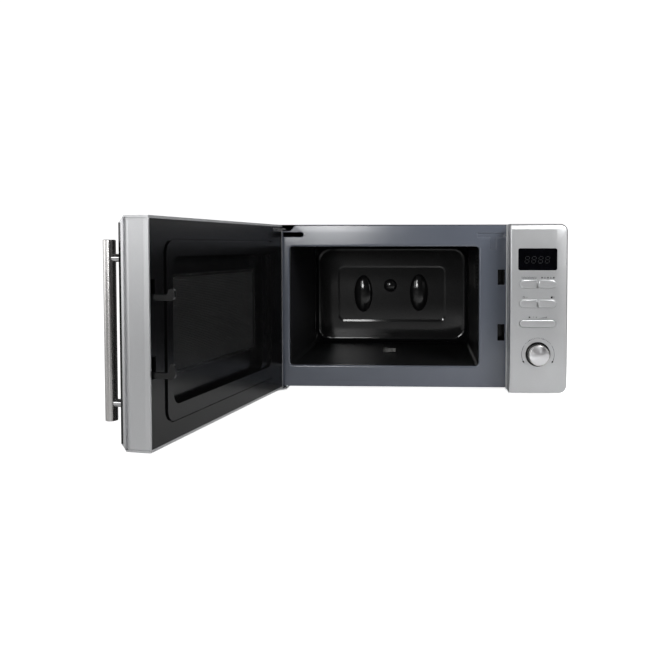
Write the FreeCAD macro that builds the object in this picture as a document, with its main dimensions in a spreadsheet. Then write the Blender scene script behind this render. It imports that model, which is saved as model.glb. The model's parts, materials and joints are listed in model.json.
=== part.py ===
import FreeCAD, Part
import os
import re
import Sketcher
from FreeCAD import Placement, Rotation, Vector

# Countertop microwave oven with a side-hinged door, all lengths in millimetres.
# The model is drawn in the oven's own frame: X to the right, Y backwards from the front plate's
# face, Z up from the surface that the feet stand on. The last step moves every piece into the
# part's frame, whose origin is below the middle of the oven with its door open.

SIZES = {
    # case
    "case_width": 452, "case_top": 262, "case_bottom": 12, "case_depth": 308, "sheet": 0.8,
    "fit_gap": 0.2, "plate_top": 261, "plate_half": 225, "cover_bend": 4, "mark_depth": 1.2,
    "foot_height": 12, "foot_radius": 10, "foot_x": 170, "foot_front": 72, "foot_rear": 268,
    "stud_radius": 1.9,
    # gland where the mains lead would enter
    "gland_x": 202, "gland_z": 58, "gland_neck": 7.4, "gland_mouth": 4,
    # cavity and its opening
    "cavity_left": -190.2, "cavity_right": 99.6, "cavity_floor": 45, "cavity_roof": 228.5,
    "cavity_depth": 288, "opening_corner": 5, "cavity_bend": 6, "turn_x": -45.3, "turn_y": 144,
    # latch slots in the front plate
    "slot_left": 128.5, "slot_right": 139, "slot_high_low": 170, "slot_high_top": 193.2,
    "slot_low_low": 84.4, "slot_low_top": 109.7,
    # control panel
    "panel_left": 141.4, "panel_right": 227.2, "panel_low": 10.4, "panel_top": 260.8,
    "panel_front": -38.9, "panel_wall": 2.5, "panel_corner": 10, "panel_edge": 2.5,
    "groove_front": -26, "groove_back": -19.5, "groove_depth": 1.4,
    "window_left": 155.5, "window_right": 211.3, "window_low": 193.3, "window_top": 224.6,
    "window_corner": 3, "pill_x": 183, "pill_width": 54.6, "pill_height": 11.6, "pill_gap": 1.6,
    "row_top": 173.2, "row_middle": 144.2, "row_low": 114.7,
    "button_proud": 1, "button_depth": 5, "stem_end": -28.1, "board_front": -22,
    "knob_x": 183.7, "knob_z": 69.3, "knob_radius": 14.6, "knob_front": -54.9, "well_radius": 16.8,
    "well_floor": -34.9, "shaft_radius": 3, "running_gap": 0.05,
    # door, closed
    "door_left": -226, "door_right": 139.9, "door_low": 10.8, "door_top": 261.4,
    "door_front": -38.9, "door_back": -2.84, "glass": 2.6, "door_wall": 3, "door_flange": 3.3,
    "rim_edge": 7.8, "rim_side": 2, "rim_depth": 4.9, "lip_edge": 0.3, "side_groove_front": -32.5,
    "side_groove_back": -26.1, "side_groove_depth": 1.2, "side_slope_start": -8.1, "side_slope": 0.9,
    "hinge_x": -216.8, "hinge_y": -17.5, "hinge_pin": 2.5, "door_open": 101.3,
    # choke cover on the door's inner face
    "ring_left": -193.4, "ring_right": 107.5, "ring_low": 35.4, "ring_top": 235.1,
    "ring_inner_left": -177.3, "pan_left": -154, "pan_right": 95, "pan_low": 52.8,
    "pan_top": 217.7, "ring_face": -0.9, "cover_back": -6, "pan_floor": -15, "screen_left": -147,
    "screen_right": 88, "screen_low": 86, "screen_top": 193, "ring_corner": 14, "pan_corner": 12,
    "moat": 1.8, "moat_floor": -4.6,
    # latch hooks, which reach 23 mm behind the front plate's face
    "hook_left": 129.3, "hook_right": 134, "hook_reach": 23.2,
    "hook_high": 171.5, "hook_low": 89,
    # handle
    "handle_x": 111.5, "handle_y": -68, "handle_radius": 6.8, "handle_low": 36, "handle_top": 236,
    "post_low": 56, "post_high": 216, "post_radius": 4.5,
    # cooling fan, transformer and magnetron
    "fan_x": 165, "fan_z": 185, "fan_radius": 49, "core_x": 165, "core_y": 140, "core_z": 48.8,
    "tube_y": 135, "tube_z": 179, "tube_left": 128.2,
    # where the middle of the oven's front plate stands in the part's frame
    "frame_x": 55.1, "frame_y": 29.8,
}

doc = FreeCAD.newDocument("microwave_oven")
sheet = doc.addObject("Spreadsheet::Sheet", "sizes")
for row, (alias, plain_number) in enumerate(SIZES.items(), start=1):
    sheet.set(f"A{row}", alias)
    sheet.set(f"B{row}", str(plain_number))
    sheet.setAlias(f"B{row}", alias)
doc.recompute()

pieces = []


def number(expression):
    """The value of an expression in the sheet's aliases."""
    return float(sheet.evalExpression(str(expression)))


def bound(expression):
    """The same expression as another object of the document has to write it."""
    return re.sub(r"[a-z][a-z_]*", lambda word: "sizes." + word.group() if word.group() in SIZES
                  else word.group(), str(expression))


def span(low, high):
    return f"({high}) - ({low})"


def box(name, x, y, z):
    """A block between pairs of expressions, its three lengths bound to the sheet."""
    item = doc.addObject("Part::Box", name)
    for length, (low, high) in zip(("Length", "Width", "Height"), (x, y, z)):
        item.setExpression(length, bound(span(low, high)))
    item.Placement = Placement(Vector(number(x[0]), number(y[0]), number(z[0])), Rotation())
    return item


TURN_TO = {"x": Rotation(Vector(0, 1, 0), 90), "y": Rotation(Vector(1, 0, 0), -90), "z": Rotation()}


def rod(name, axis, radius, start, end, across):
    """A cylinder along x, y or z from start to end; across is the place of its axis."""
    item = doc.addObject("Part::Cylinder", name)
    item.setExpression("Radius", bound(radius))
    item.setExpression("Height", bound(span(start, end)))
    place = [number(value) for value in across]
    place.insert("xyz".index(axis), number(start))
    item.Placement = Placement(Vector(*place), TURN_TO[axis])
    return item


def fuse(name, items):
    item = doc.addObject("Part::MultiFuse", name)
    item.Shapes = items
    item.Refine = True
    return item


def cut(name, base, tools):
    item = doc.addObject("Part::Cut", name)
    item.Base = base
    item.Tool = tools[0] if len(tools) == 1 else fuse(name + "_tools", tools)
    item.Refine = True
    return item


def runs_along(edge, axis):
    line = edge.Curve.TypeId == "Part::GeomLine"
    return line and abs(getattr(edge.Curve.Direction, axis)) > 0.99


def rounded(name, base, radius, choose):
    """Rounds those of the base's edges that choose accepts."""
    doc.recompute()
    item = doc.addObject("Part::Fillet", name)
    item.Base = base
    item.Edges = [(index, number(radius), number(radius))
                  for index, edge in enumerate(base.Shape.Edges, start=1) if choose(edge)]
    return item


def rounded_along(name, base, radius, axis):
    return rounded(name, base, radius, lambda edge: runs_along(edge, axis))


def keep(name, item, on_door=False):
    """Names a finished piece and says which frame it is drawn in."""
    item.Label = name
    pieces.append((name, item, on_door))
    return item


def role_plane(body, role):
    return next(feature for feature in body.Origin.OriginFeatures if feature.Role == role)


def new_sketch(body, name, role, offset=0):
    sketch = body.newObject("Sketcher::SketchObject", name)
    sketch.AttachmentSupport = [(role_plane(body, role), "")]
    sketch.MapMode = "FlatFace"
    sketch.AttachmentOffset = Placement(Vector(0, 0, number(offset)), Rotation())
    return sketch


def bind(sketch, constraint, expression):
    index = sketch.addConstraint(constraint)
    sketch.setExpression(f"Constraints[{index}]", bound(expression))


def sketch_rectangle(sketch, u, v):
    """A rectangle whose four sides are held at expressions from the sketch's origin."""
    left, right = number(u[0]), number(u[1])
    low, top = number(v[0]), number(v[1])
    corners = [Vector(left, low, 0), Vector(right, low, 0), Vector(right, top, 0),
               Vector(left, top, 0)]
    first = sketch.GeometryCount
    for index in range(4):
        sketch.addGeometry(Part.LineSegment(corners[index], corners[(index + 1) % 4]), False)
    for index in range(4):
        sketch.addConstraint(Sketcher.Constraint(
            "Coincident", first + index, 2, first + (index + 1) % 4, 1))
        level = "Horizontal" if index % 2 == 0 else "Vertical"
        sketch.addConstraint(Sketcher.Constraint(level, first + index))
    bind(sketch, Sketcher.Constraint("DistanceX", -1, 1, first, 1, left), u[0])
    bind(sketch, Sketcher.Constraint("DistanceY", -1, 1, first, 1, low), v[0])
    bind(sketch, Sketcher.Constraint("DistanceX", -1, 1, first + 2, 1, right), u[1])
    bind(sketch, Sketcher.Constraint("DistanceY", -1, 1, first + 2, 1, top), v[1])


def sketch_circle(sketch, u, v, radius):
    centre = Vector(number(u), number(v), 0)
    index = sketch.addGeometry(Part.Circle(centre, Vector(0, 0, 1), number(radius)), False)
    bind(sketch, Sketcher.Constraint("Radius", index, number(radius)), radius)
    bind(sketch, Sketcher.Constraint("DistanceX", -1, 1, index, 3, centre.x), u)
    bind(sketch, Sketcher.Constraint("DistanceY", -1, 1, index, 3, centre.y), v)


def sketch_outline(sketch, points):
    """A closed run of straight sides through points given as pairs of expressions."""
    places = [Vector(number(u), number(v), 0) for u, v in points]
    first = sketch.GeometryCount
    count = len(places)
    for index in range(count):
        sketch.addGeometry(Part.LineSegment(places[index], places[(index + 1) % count]), False)
    for index in range(count):
        sketch.addConstraint(Sketcher.Constraint(
            "Coincident", first + index, 2, first + (index + 1) % count, 1))
    for index, (u, v) in enumerate(points):
        bind(sketch, Sketcher.Constraint("DistanceX", -1, 1, first + index, 1, places[index].x), u)
        bind(sketch, Sketcher.Constraint("DistanceY", -1, 1, first + index, 1, places[index].y), v)


def pad(body, sketch, length, backwards=False):
    item = body.newObject("PartDesign::Pad", sketch.Name + "_pad")
    item.Profile = sketch
    item.setExpression("Length", bound(length))
    item.Reversed = backwards
    body.Tip = item
    return item


def revolve(body, sketch):
    item = body.newObject("PartDesign::Revolution", sketch.Name + "_revolution")
    item.Profile = sketch
    item.ReferenceAxis = (sketch, ["V_Axis"])
    item.Angle = 360
    body.Tip = item
    return item


def new_body(name):
    return doc.addObject("PartDesign::Body", name)


def plate_body(name, role, offset, thickness, outlines, circles=(), backwards=False):
    """A flat piece padded from one sketch of rectangles and circles, in or out of each other."""
    body = new_body(name + "_body")
    sketch = new_sketch(body, name + "_outline", role, offset)
    for u, v in outlines:
        sketch_rectangle(sketch, u, v)
    for u, v, radius in circles:
        sketch_circle(sketch, u, v, radius)
    pad(body, sketch, thickness, backwards)
    return body


# --- case ---------------------------------------------------------------------------------

def outer_cover():
    """One sheet bent over the roof and both sides, with louvres near the rear."""
    half = "case_width / 2"
    top = number("case_top") - 2
    outer_block = box("cover_outer_block", (f"-{half}", half), ("fit_gap", "case_depth"),
                      ("case_bottom + 0.6", "case_top"))
    inner_block = box("cover_inner_block", (f"-{half} + sheet", f"{half} - sheet"),
                      (0, "case_depth - sheet"), ("case_bottom", "case_top - sheet"))
    outer = rounded("cover_outer", outer_block, "cover_bend", lambda edge:
                    runs_along(edge, "y") and edge.CenterOfMass.z > top)
    inner = rounded("cover_inner", inner_block, "cover_bend - sheet", lambda edge:
                    runs_along(edge, "y") and edge.CenterOfMass.z > top)
    rear = box("cover_rear", (f"-{half} + 11", f"{half} - 11"), ("case_depth - 2", "case_depth + 1"),
               ("case_bottom", "case_top - 11"))
    tools = [inner, rear]
    for side, first in (("-", 200), ("", 70)):
        for column in range(12):
            for level in (70, 96):
                low = first + 7 * column
                tools.append(box("louvre", (f"{side}{half} - 2", f"{side}{half} + 2"),
                                 (low, low + 3), (level, level + 20)))
    for x in (-205, 0, 205):
        tools.append(rod("cover_screw_hole", "y", 2, "case_depth - 2", "case_depth + 1",
                         (x, "case_top - 6")))
    keep("outer_cover", cut("cover", outer, tools))


def base_plate():
    """A shallow tray with holes for the feet and an air grille under the transformer."""
    body = new_body("base_body")
    floor_sketch = new_sketch(body, "base_floor", "XY_Plane", "case_bottom")
    sketch_rectangle(floor_sketch, ("-plate_half", "plate_half"), (1.6, 306))
    for x in ("-foot_x", "foot_x"):
        for y in ("foot_front", "foot_rear"):
            sketch_circle(floor_sketch, x, y, "stud_radius + 0.1")
    for column in range(9):
        left = 124 + 9 * column
        sketch_rectangle(floor_sketch, (left, left + 4), (200, 250))
    pad(body, floor_sketch, "sheet")
    walls = new_sketch(body, "base_walls", "XY_Plane", "case_bottom")
    sketch_rectangle(walls, ("-plate_half", "plate_half"), (1.6, 306))
    sketch_rectangle(walls, ("-plate_half + sheet", "plate_half - sheet"),
                     ("1.6 + sheet", "306 - sheet"))
    pad(body, walls, 14)
    keep("base_plate", body)


def rear_panel():
    """The flat back, with the fan's intake slots and the hole of the cord gland."""
    slots = []
    for level in range(8):
        low = 148 + 10 * level
        slots.append(((120, 162), (low, low + 5)))
        slots.append(((168, 210), (low, low + 5)))
    outlines = [(("-plate_half + 1", "plate_half - 1"), (27, "plate_top - 1"))] + slots
    body = plate_body("rear", "XZ_Plane", "-(case_depth - sheet - 0.2)", "sheet", outlines,
                      [("gland_x", "gland_z", "gland_neck + running_gap")])
    keep("rear_panel", body)


def front_plate():
    """The face around the oven's opening, with latch slots and pressed stiffening marks."""
    face_block = box("plate_face_block", ("-plate_half", "plate_half"), (0, "sheet"),
                     ("case_bottom", "plate_top"))
    half, top = number("plate_half"), number("plate_top")
    face = rounded("plate_face", face_block, "cover_bend", lambda edge:
                   runs_along(edge, "y") and edge.CenterOfMass.distanceToPoint(
                       Vector(half, edge.CenterOfMass.y, top)) < 1)
    top_flange = box("plate_top_flange", (-186, "plate_half - 4"), (0, 12),
                     ("plate_top - sheet", "plate_top"))
    side_flange = box("plate_side_flange", ("plate_half - sheet", "plate_half"), (0, 12),
                      (27, "plate_top - 4"))
    bar_back = box("mark_bar_back", (96, 139), (0, 2), (241.4, 249.6))
    stem_back = box("mark_stem_back", (116, 126.4), (0, 2), (223, 242))
    slot_back = box("mark_slot_back", (-203, -169), (0, 2), (242, 251.4))
    solid = fuse("plate_solid", [face, top_flange, side_flange, bar_back, stem_back, slot_back])
    opening = rounded_along("plate_opening", box(
        "plate_opening_block", ("cavity_left", "cavity_right"), (-1, 3),
        ("cavity_floor", "cavity_roof")), "opening_corner", "y")
    tools = [
        opening,
        box("plate_slot_high", ("slot_left", "slot_right"), (-1, 3), ("slot_high_low", "slot_high_top")),
        box("plate_slot_low", ("slot_left", "slot_right"), (-1, 3), ("slot_low_low", "slot_low_top")),
        box("plate_corner", ("-plate_half - 1", -188), (-1, 20), (252.6, 262)),
        box("mark_bar", (97, 138), (-1, "mark_depth"), (242.4, 248.6)),
        box("mark_stem", (117, 125.4), (-1, "mark_depth"), (224, 243)),
        box("mark_slot", (-202, -170), (-1, "mark_depth"), (243, 250.4)),
    ]
    keep("front_plate", cut("plate", solid, tools))


def feet():
    """Four turned feet, each with a stud that clips into the base plate."""
    for side, x in (("left", "-foot_x"), ("right", "foot_x")):
        for end, y in (("front", "foot_front"), ("rear", "foot_rear")):
            name = f"foot_{end}_{side}"
            body = new_body(name + "_body")
            sketch = new_sketch(body, name + "_profile", "XZ_Plane")
            sketch_outline(sketch, [(0, 0), ("foot_radius - 2", 0), ("foot_radius", "foot_height - 3"),
                                    ("foot_radius", "foot_height"), ("stud_radius", "foot_height"),
                                    ("stud_radius", "foot_height + 4"), (0, "foot_height + 4")])
            revolve(body, sketch)
            body.Placement = Placement(Vector(number(x), number(y), 0), Rotation())
            keep(name, body)


def cover_screws():
    """Three identical screws that hold the cover to the rear panel."""
    screws = []
    for x in (-205, 0, 205):
        shank = rod("screw_shank", "y", 1.8, "case_depth - 0.8", "case_depth", (x, "case_top - 6"))
        head = rod("screw_head", "y", 3.6, "case_depth", "case_depth + 1.8", (x, "case_top - 6"))
        screws += [shank, head]
    keep("cover_screws", fuse("screws", screws))


def cord_gland():
    """The grommet where the mains lead would enter: a round neck behind a square flange."""
    middle = ("gland_x", "gland_z")
    neck = rod("gland_neck_rod", "y", "gland_neck", "case_depth - 6", "case_depth", middle)
    flange = box("gland_flange", ("gland_x - 11", "gland_x + 11"), ("case_depth - 0.2", "case_depth + 1.8"),
                 ("gland_z - 9", "gland_z + 9"))
    mouth = rod("gland_mouth_rod", "y", "gland_mouth", "case_depth - 10", "case_depth + 3", middle)
    keep("cord_gland", cut("gland", fuse("gland_solid", [neck, flange]), [mouth]))


# --- cavity -------------------------------------------------------------------------------

def cavity():
    """The oven's inner box: a U of floor and sides, a roof and a stamped back."""
    left, right = "cavity_left", "cavity_right"
    low = number("cavity_floor") + 1
    outer_block = box("cavity_outer_block", (f"{left} - sheet", f"{right} + sheet"),
                      ("sheet", "cavity_depth"), ("cavity_floor - sheet", "cavity_roof"))
    inner_block = box("cavity_inner_block", (left, right), (0, "cavity_depth + 1"),
                      ("cavity_floor", "cavity_roof + 1"))
    outer = rounded("cavity_outer", outer_block, "cavity_bend + sheet", lambda edge:
                    runs_along(edge, "y") and edge.CenterOfMass.z < low)
    inner = rounded("cavity_inner", inner_block, "cavity_bend", lambda edge:
                    runs_along(edge, "y") and edge.CenterOfMass.z < low)
    tools = [inner, rod("turn_hole", "z", 5, 40, 50, ("turn_x", "turn_y")),
             box("guide_window", (f"{right} - 2", f"{right} + 2"), (86, 204), (164, 195))]
    for column in range(5):
        for level in range(11):
            tools.append(rod("side_hole", "x", 1.5, f"{right} - 2", f"{right} + 2",
                             (26 + 6 * column, 160 + 5.5 * level)))
    keep("cavity_shell", cut("cavity_shell_cut", outer, tools))

    roof = plate_body("cavity_roof", "XY_Plane", "cavity_roof", "sheet",
                      [((f"{left} - sheet", f"{right} + sheet"), ("sheet", "cavity_depth"))])
    keep("cavity_roof", roof)

    back = "cavity_depth"
    flat = box("back_flat", (f"{left} - sheet", f"{right} + sheet"), (back, f"{back} + sheet"),
               ("cavity_floor - sheet", "cavity_roof + sheet"))
    panel_back = box("back_panel_back", (-149, 58.4), (back, f"{back} + 3.8"), (84, 191))
    panel = box("back_panel", (-148.2, 57.6), (f"{back} - 1", f"{back} + 3"), (84.8, 190.2))
    keep("cavity_back", cut("back", fuse("back_solid", [flat, panel_back]), [panel]))


def turntable():
    """The geared motor under the floor and the coupling that it turns."""
    body = rod("turn_motor_can", "z", 25, 26, "cavity_floor - sheet", ("turn_x", "turn_y"))
    bore = rod("turn_motor_bore", "z", "shaft_radius + running_gap", 20, 50, ("turn_x", "turn_y"))
    keep("turntable_motor", cut("turn_motor", body, [bore]))
    shaft = rod("turn_shaft", "z", "shaft_radius", 30, 48, ("turn_x", "turn_y"))
    hub = rod("turn_hub", "z", 8, 46, 50, ("turn_x", "turn_y"))
    lobes = []
    for turn in range(3):
        lobe = box("turn_lobe", (0, 12.5), (-3, 3), (46, 51.5))
        lobe.Placement = Placement(Vector(number("turn_x"), number("turn_y"), 46),
                                   Rotation(Vector(0, 0, 1), 120 * turn)).multiply(
                                       Placement(Vector(0, -3, 0), Rotation()))
        lobes.append(lobe)
    keep("turntable_coupling", fuse("turn_coupling", [shaft, hub] + lobes))


def lamp():
    """A small bulb on its plug-in base behind the perforated patch of the right wall."""
    keep("oven_lamp", fuse("lamp", [rod("lamp_glass", "x", 9, 103, 122, (50, 190)),
                                    box("lamp_base", (120, 138), (40, 60), (180, 200))]))


# --- power train --------------------------------------------------------------------------

def waveguide():
    """The duct between the magnetron and the cavity, and the mica sheet over its window."""
    right = "cavity_right + sheet"
    outer = box("guide_outer", (right, "tube_left - 0.2"), (85, 205), (150, 208))
    inner = box("guide_inner", (f"{right} - 1", "tube_left - 1"), (85.8, 204.2), (150.8, 207.2))
    hole = rod("guide_hole", "x", 9, "tube_left - 3", "tube_left + 1", ("tube_y", "tube_z"))
    keep("waveguide", cut("guide", outer, [inner, hole]))
    cover = plate_body("guide_cover", "YZ_Plane", "cavity_right - 0.5", 0.4,
                       [((80, 210), (160.5, 198.5))])
    keep("waveguide_cover", cover)


def magnetron():
    """The open steel yoke with its filter box, and the finned anode with its antenna."""
    yoke = box("yoke_outer", ("tube_left", 188), ("tube_y - 40", "tube_y + 40"),
               ("tube_z - 40", "tube_z + 40"))
    hollow = box("yoke_inner", ("tube_left + 1.5", 186.5), ("tube_y - 41", "tube_y + 41"),
                 ("tube_z - 38.5", "tube_z + 38.5"))
    hole = rod("yoke_hole", "x", 9, "tube_left - 1", "tube_left + 3", ("tube_y", "tube_z"))
    filter_box = box("filter_box", (188, 214), ("tube_y - 24", "tube_y + 24"),
                     ("tube_z - 30", "tube_z + 30"))
    keep("magnetron_yoke", fuse("yoke_and_filter", [cut("yoke", yoke, [hollow, hole]), filter_box]))
    anode = [rod("anode_core", "x", 19, "tube_left + 1.6", 186.4, ("tube_y", "tube_z")),
             rod("anode_antenna", "x", 7.5, 108, "tube_left + 2", ("tube_y", "tube_z"))]
    for fin in range(7):
        low = 138 + 6.5 * fin
        anode.append(box("anode_fin", (low, low + 0.8), ("tube_y - 38", "tube_y + 38"),
                         ("tube_z - 38", "tube_z + 38")))
    keep("magnetron_anode", fuse("anode", anode))


def transformer():
    """A laminated core with two windows, and two windings round its middle limb."""
    core = plate_body("core", "XZ_Plane", "-(core_y + 30)", 60, [
        (("core_x - 45", "core_x + 45"), ("core_z - 36", "core_z + 36")),
        (("core_x - 30", "core_x - 15"), ("core_z - 21", "core_z + 21")),
        (("core_x + 15", "core_x + 30"), ("core_z - 21", "core_z + 21"))])
    keep("transformer_core", core)
    for name, low in (("primary_winding", "core_z - 20.8"), ("secondary_winding", "core_z + 0.6")):
        ring = plate_body(name, "XY_Plane", low, 20.2, [
            (("core_x - 29.7", "core_x + 29.7"), ("core_y - 45", "core_y + 45")),
            (("core_x - 15.2", "core_x + 15.2"), ("core_y - 30.2", "core_y + 30.2"))])
        keep(name, ring)


def capacitor():
    """The high-voltage capacitor with its two terminals."""
    can = rounded_along("capacitor_can", box("capacitor_block", (118, 172), (206, 240), (12.8, 106)),
                        14, "z")
    terminals = [box("terminal", (x, x + 6), (222.6, 223.4), (106, 114)) for x in (130, 154)]
    keep("hv_capacitor", fuse("capacitor", [can] + terminals))


def cooling_fan():
    """Motor on the rear panel, five blades, and the shroud that the blades turn in."""
    motor = box("fan_motor_block", ("fan_x - 22", "fan_x + 22"), (284, 306), ("fan_z - 22", "fan_z + 22"))
    bore = rod("fan_motor_bore", "y", "2 + running_gap", 280, 303, ("fan_x", "fan_z"))
    keep("fan_motor", cut("fan_motor_cut", motor, [bore]))
    parts = [rod("fan_hub", "y", 13, 262, 280, ("fan_x", "fan_z")),
             rod("fan_spindle", "y", 2, 270, 300, ("fan_x", "fan_z"))]
    for turn in range(5):
        blade = box("fan_blade_plate", (0, "fan_radius - 10"), (0, 1.6), (0, 26))
        spin = Placement(Vector(number("fan_x"), 271, number("fan_z")),
                         Rotation(Vector(0, 1, 0), 72 * turn))
        pitch = Placement(Vector(10, 0, 0), Rotation(Vector(1, 0, 0), 32))
        centred = Placement(Vector(0, -0.8, -13), Rotation())
        blade.Placement = spin.multiply(pitch).multiply(centred)
        parts.append(blade)
    keep("fan_blade", fuse("fan", parts))
    shroud = box("shroud_plate", (108, 222), (268, 274), (128, 242))
    orifice = rod("shroud_orifice", "y", "fan_radius + 4", 260, 280, ("fan_x", "fan_z"))
    legs = [box("shroud_leg", (x, x + 6), (274, 306), (z, z + 6)) for x in (108, 216) for z in (128, 236)]
    keep("fan_shroud", fuse("shroud", [cut("shroud_ring", shroud, [orifice])] + legs))


def small_electrics():
    """Thermal cut-outs, the mains filter board and the door's interlock."""
    cutouts = [rod("cutout_tube", "z", 8, "tube_z + 40", "tube_z + 47", (158, "tube_y")),
               rod("cutout_cavity", "x", 8, "cavity_right + sheet", "cavity_right + sheet + 7", (250, 120))]
    keep("thermal_cutouts", fuse("cutouts", cutouts))
    board = [box("filter_card", (180, 222), (200, 262), (121, 122.6)),
             box("filter_coil", (186, 204), (206, 224), (122.6, 134)),
             box("filter_fuse", (208, 214), (206, 234), (122.6, 129)),
             box("filter_foot", (196, 206), (228, 234), (12.8, 121))]
    keep("filter_board", fuse("filter", board))
    frame = box("interlock_block", (124.5, 146), ("sheet", 32), (76, 204))
    channel = box("interlock_channel", (127, 141.6), (0, 28), (80, 200))
    keep("interlock_bracket", cut("interlock", frame, [channel]))
    switches = [box("switch", (146, 152.4), (8, 28), (z, z + 12)) for z in (88, 128, 172)]
    keep("interlock_switches", fuse("switches", switches))


# --- door ---------------------------------------------------------------------------------

def hinge_outline():
    return [(-212, 0), (-196, 0), (-196, -9), (-211, "hinge_y - 5"), (-222.5, "hinge_y - 5"),
            (-222.5, "hinge_y + 5.5")]


def hinges():
    """Two steel brackets on the cabinet, each with a pin that the door turns on."""
    for name, low, tail in (("upper", 254, (0, 24)), ("lower", 8, (0, 30))):
        body = new_body(name + "_bracket_body")
        sketch = new_sketch(body, name + "_bracket_outline", "XY_Plane", low)
        sketch_outline(sketch, hinge_outline())
        sketch_circle(sketch, "hinge_x", "hinge_y", "hinge_pin")
        pad(body, sketch, 2.4)
        arm = box(name + "_arm", (-212, -196), tail, (low, low + 2.4))
        if name == "upper":
            tab = box("upper_tab", (-212, -203.2), ("sheet", 2.4), (228, 254))
        else:
            tab = box("lower_tab", (-212, -196), (6, 30), (10.4, "case_bottom"))
        keep(name + "_hinge_bracket", fuse(name + "_bracket", [body, arm, tab]))
    keep("upper_hinge_pin", rod("upper_pin", "z", "hinge_pin", 240, 261, ("hinge_x", "hinge_y")))
    keep("lower_hinge_pin", rod("lower_pin", "z", "hinge_pin", 8, 30, ("hinge_x", "hinge_y")))


def door_frame():
    """The moulded frame: a deep rim, a front flange round the window and two hinge blocks."""
    seat = "door_front + glass"
    shell = box("frame_outer", ("door_left", "door_right"), (seat, "door_back"),
                ("door_low", "door_top"))
    hollow = box("frame_hollow", ("door_left + door_wall", "door_right - door_wall"),
                 (f"{seat} + door_flange", 0), ("door_low + door_wall", "door_top - door_wall"))
    sight = box("frame_sight", (-160, 95), (f"{seat} - 1", f"{seat} + 5"), (60, 215))
    blocks = [box("hinge_block_high", ("door_left", -190), (-31, -6.2), (236, "door_top")),
              box("hinge_block_low", ("door_left", -200), (-31, -6.2), ("door_low", 36)),
              box("spring_seat", (124, "door_right"), (-16, -8), (222, 226))]
    lips = [box("lip_" + side, ("door_left", "door_right - rim_side"), ("door_front", f"{seat} + 1"), z)
            for side, z in (("high", ("door_top - rim_edge", "door_top")),
                            ("low", ("door_low", "door_low + rim_edge")))]
    solid = fuse("frame_solid", [cut("frame_ring", shell, [hollow, sight])] + blocks + lips)
    tools = [box("bracket_slot", ("door_left - 1", -194), ("hinge_y - 8.3", 0), (252.4, 258))]
    for low, top in ((238, 264), (4, 32)):
        tools.append(rod("pin_hole", "z", "hinge_pin + running_gap", low, top, ("hinge_x", "hinge_y")))
    for z in ("post_low", "post_high"):
        tools.append(rod("handle_screw_hole", "y", 2.3, -40, -25, ("handle_x", z)))
    for side, z, rise in (("top", "door_top", -1), ("bottom", "door_low", 1)):
        body = new_body(side + "_bevel_body")
        sketch = new_sketch(body, side + "_bevel", "YZ_Plane", "door_left - 5")
        foot = f"{z} + ({rise}) * (rim_edge - lip_edge)"
        sketch_outline(sketch, [("door_front - 1", f"{z} - ({rise}) * 2"),
                                (f"{seat} + rim_depth", f"{z} - ({rise}) * 2"),
                                (f"{seat} + rim_depth", z), ("door_front", foot),
                                ("door_front - 1", foot)])
        pad(body, sketch, "door_right - door_left + 10")
        tools.append(body)
    side_body = new_body("side_bevel_body")
    sketch = new_sketch(side_body, "side_bevel", "XY_Plane", "door_low - 5")
    sketch_outline(sketch, [("door_right + 2", f"{seat} - 1"), ("door_right + 2", f"{seat} + rim_depth"),
                            ("door_right", f"{seat} + rim_depth"), ("door_right - rim_side", seat),
                            ("door_right - rim_side", f"{seat} - 1")])
    pad(side_body, sketch, "door_top - door_low + 10")
    slope_body = new_body("side_slope_body")
    sketch = new_sketch(slope_body, "side_slope_outline", "XY_Plane", "door_low - 5")
    sketch_outline(sketch, [("door_right", "side_slope_start"), ("door_right + 2", "side_slope_start"),
                            ("door_right + 2", "door_back + 1"),
                            ("door_right - side_slope", "door_back + 1")])
    pad(slope_body, sketch, "door_top - door_low + 10")
    groove = box("side_groove", ("door_right - side_groove_depth", "door_right + 1"),
                 ("side_groove_front", "side_groove_back"), ("door_low + rim_side", "door_top - rim_side"))
    tools += [side_body, slope_body, groove]
    keep("door_frame", cut("frame", solid, tools), on_door=True)


def door_glass():
    """The black front glass, drilled for the handle's two screws."""
    body = plate_body("glass", "XZ_Plane", "-(door_front + glass)", "glass",
                      [(("door_left + 2", "door_right - rim_side"),
                        ("door_low + rim_edge", "door_top - rim_edge"))],
                      [("handle_x", "post_low", 2.5), ("handle_x", "post_high", 2.5)])
    keep("door_glass", body, on_door=True)


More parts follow.
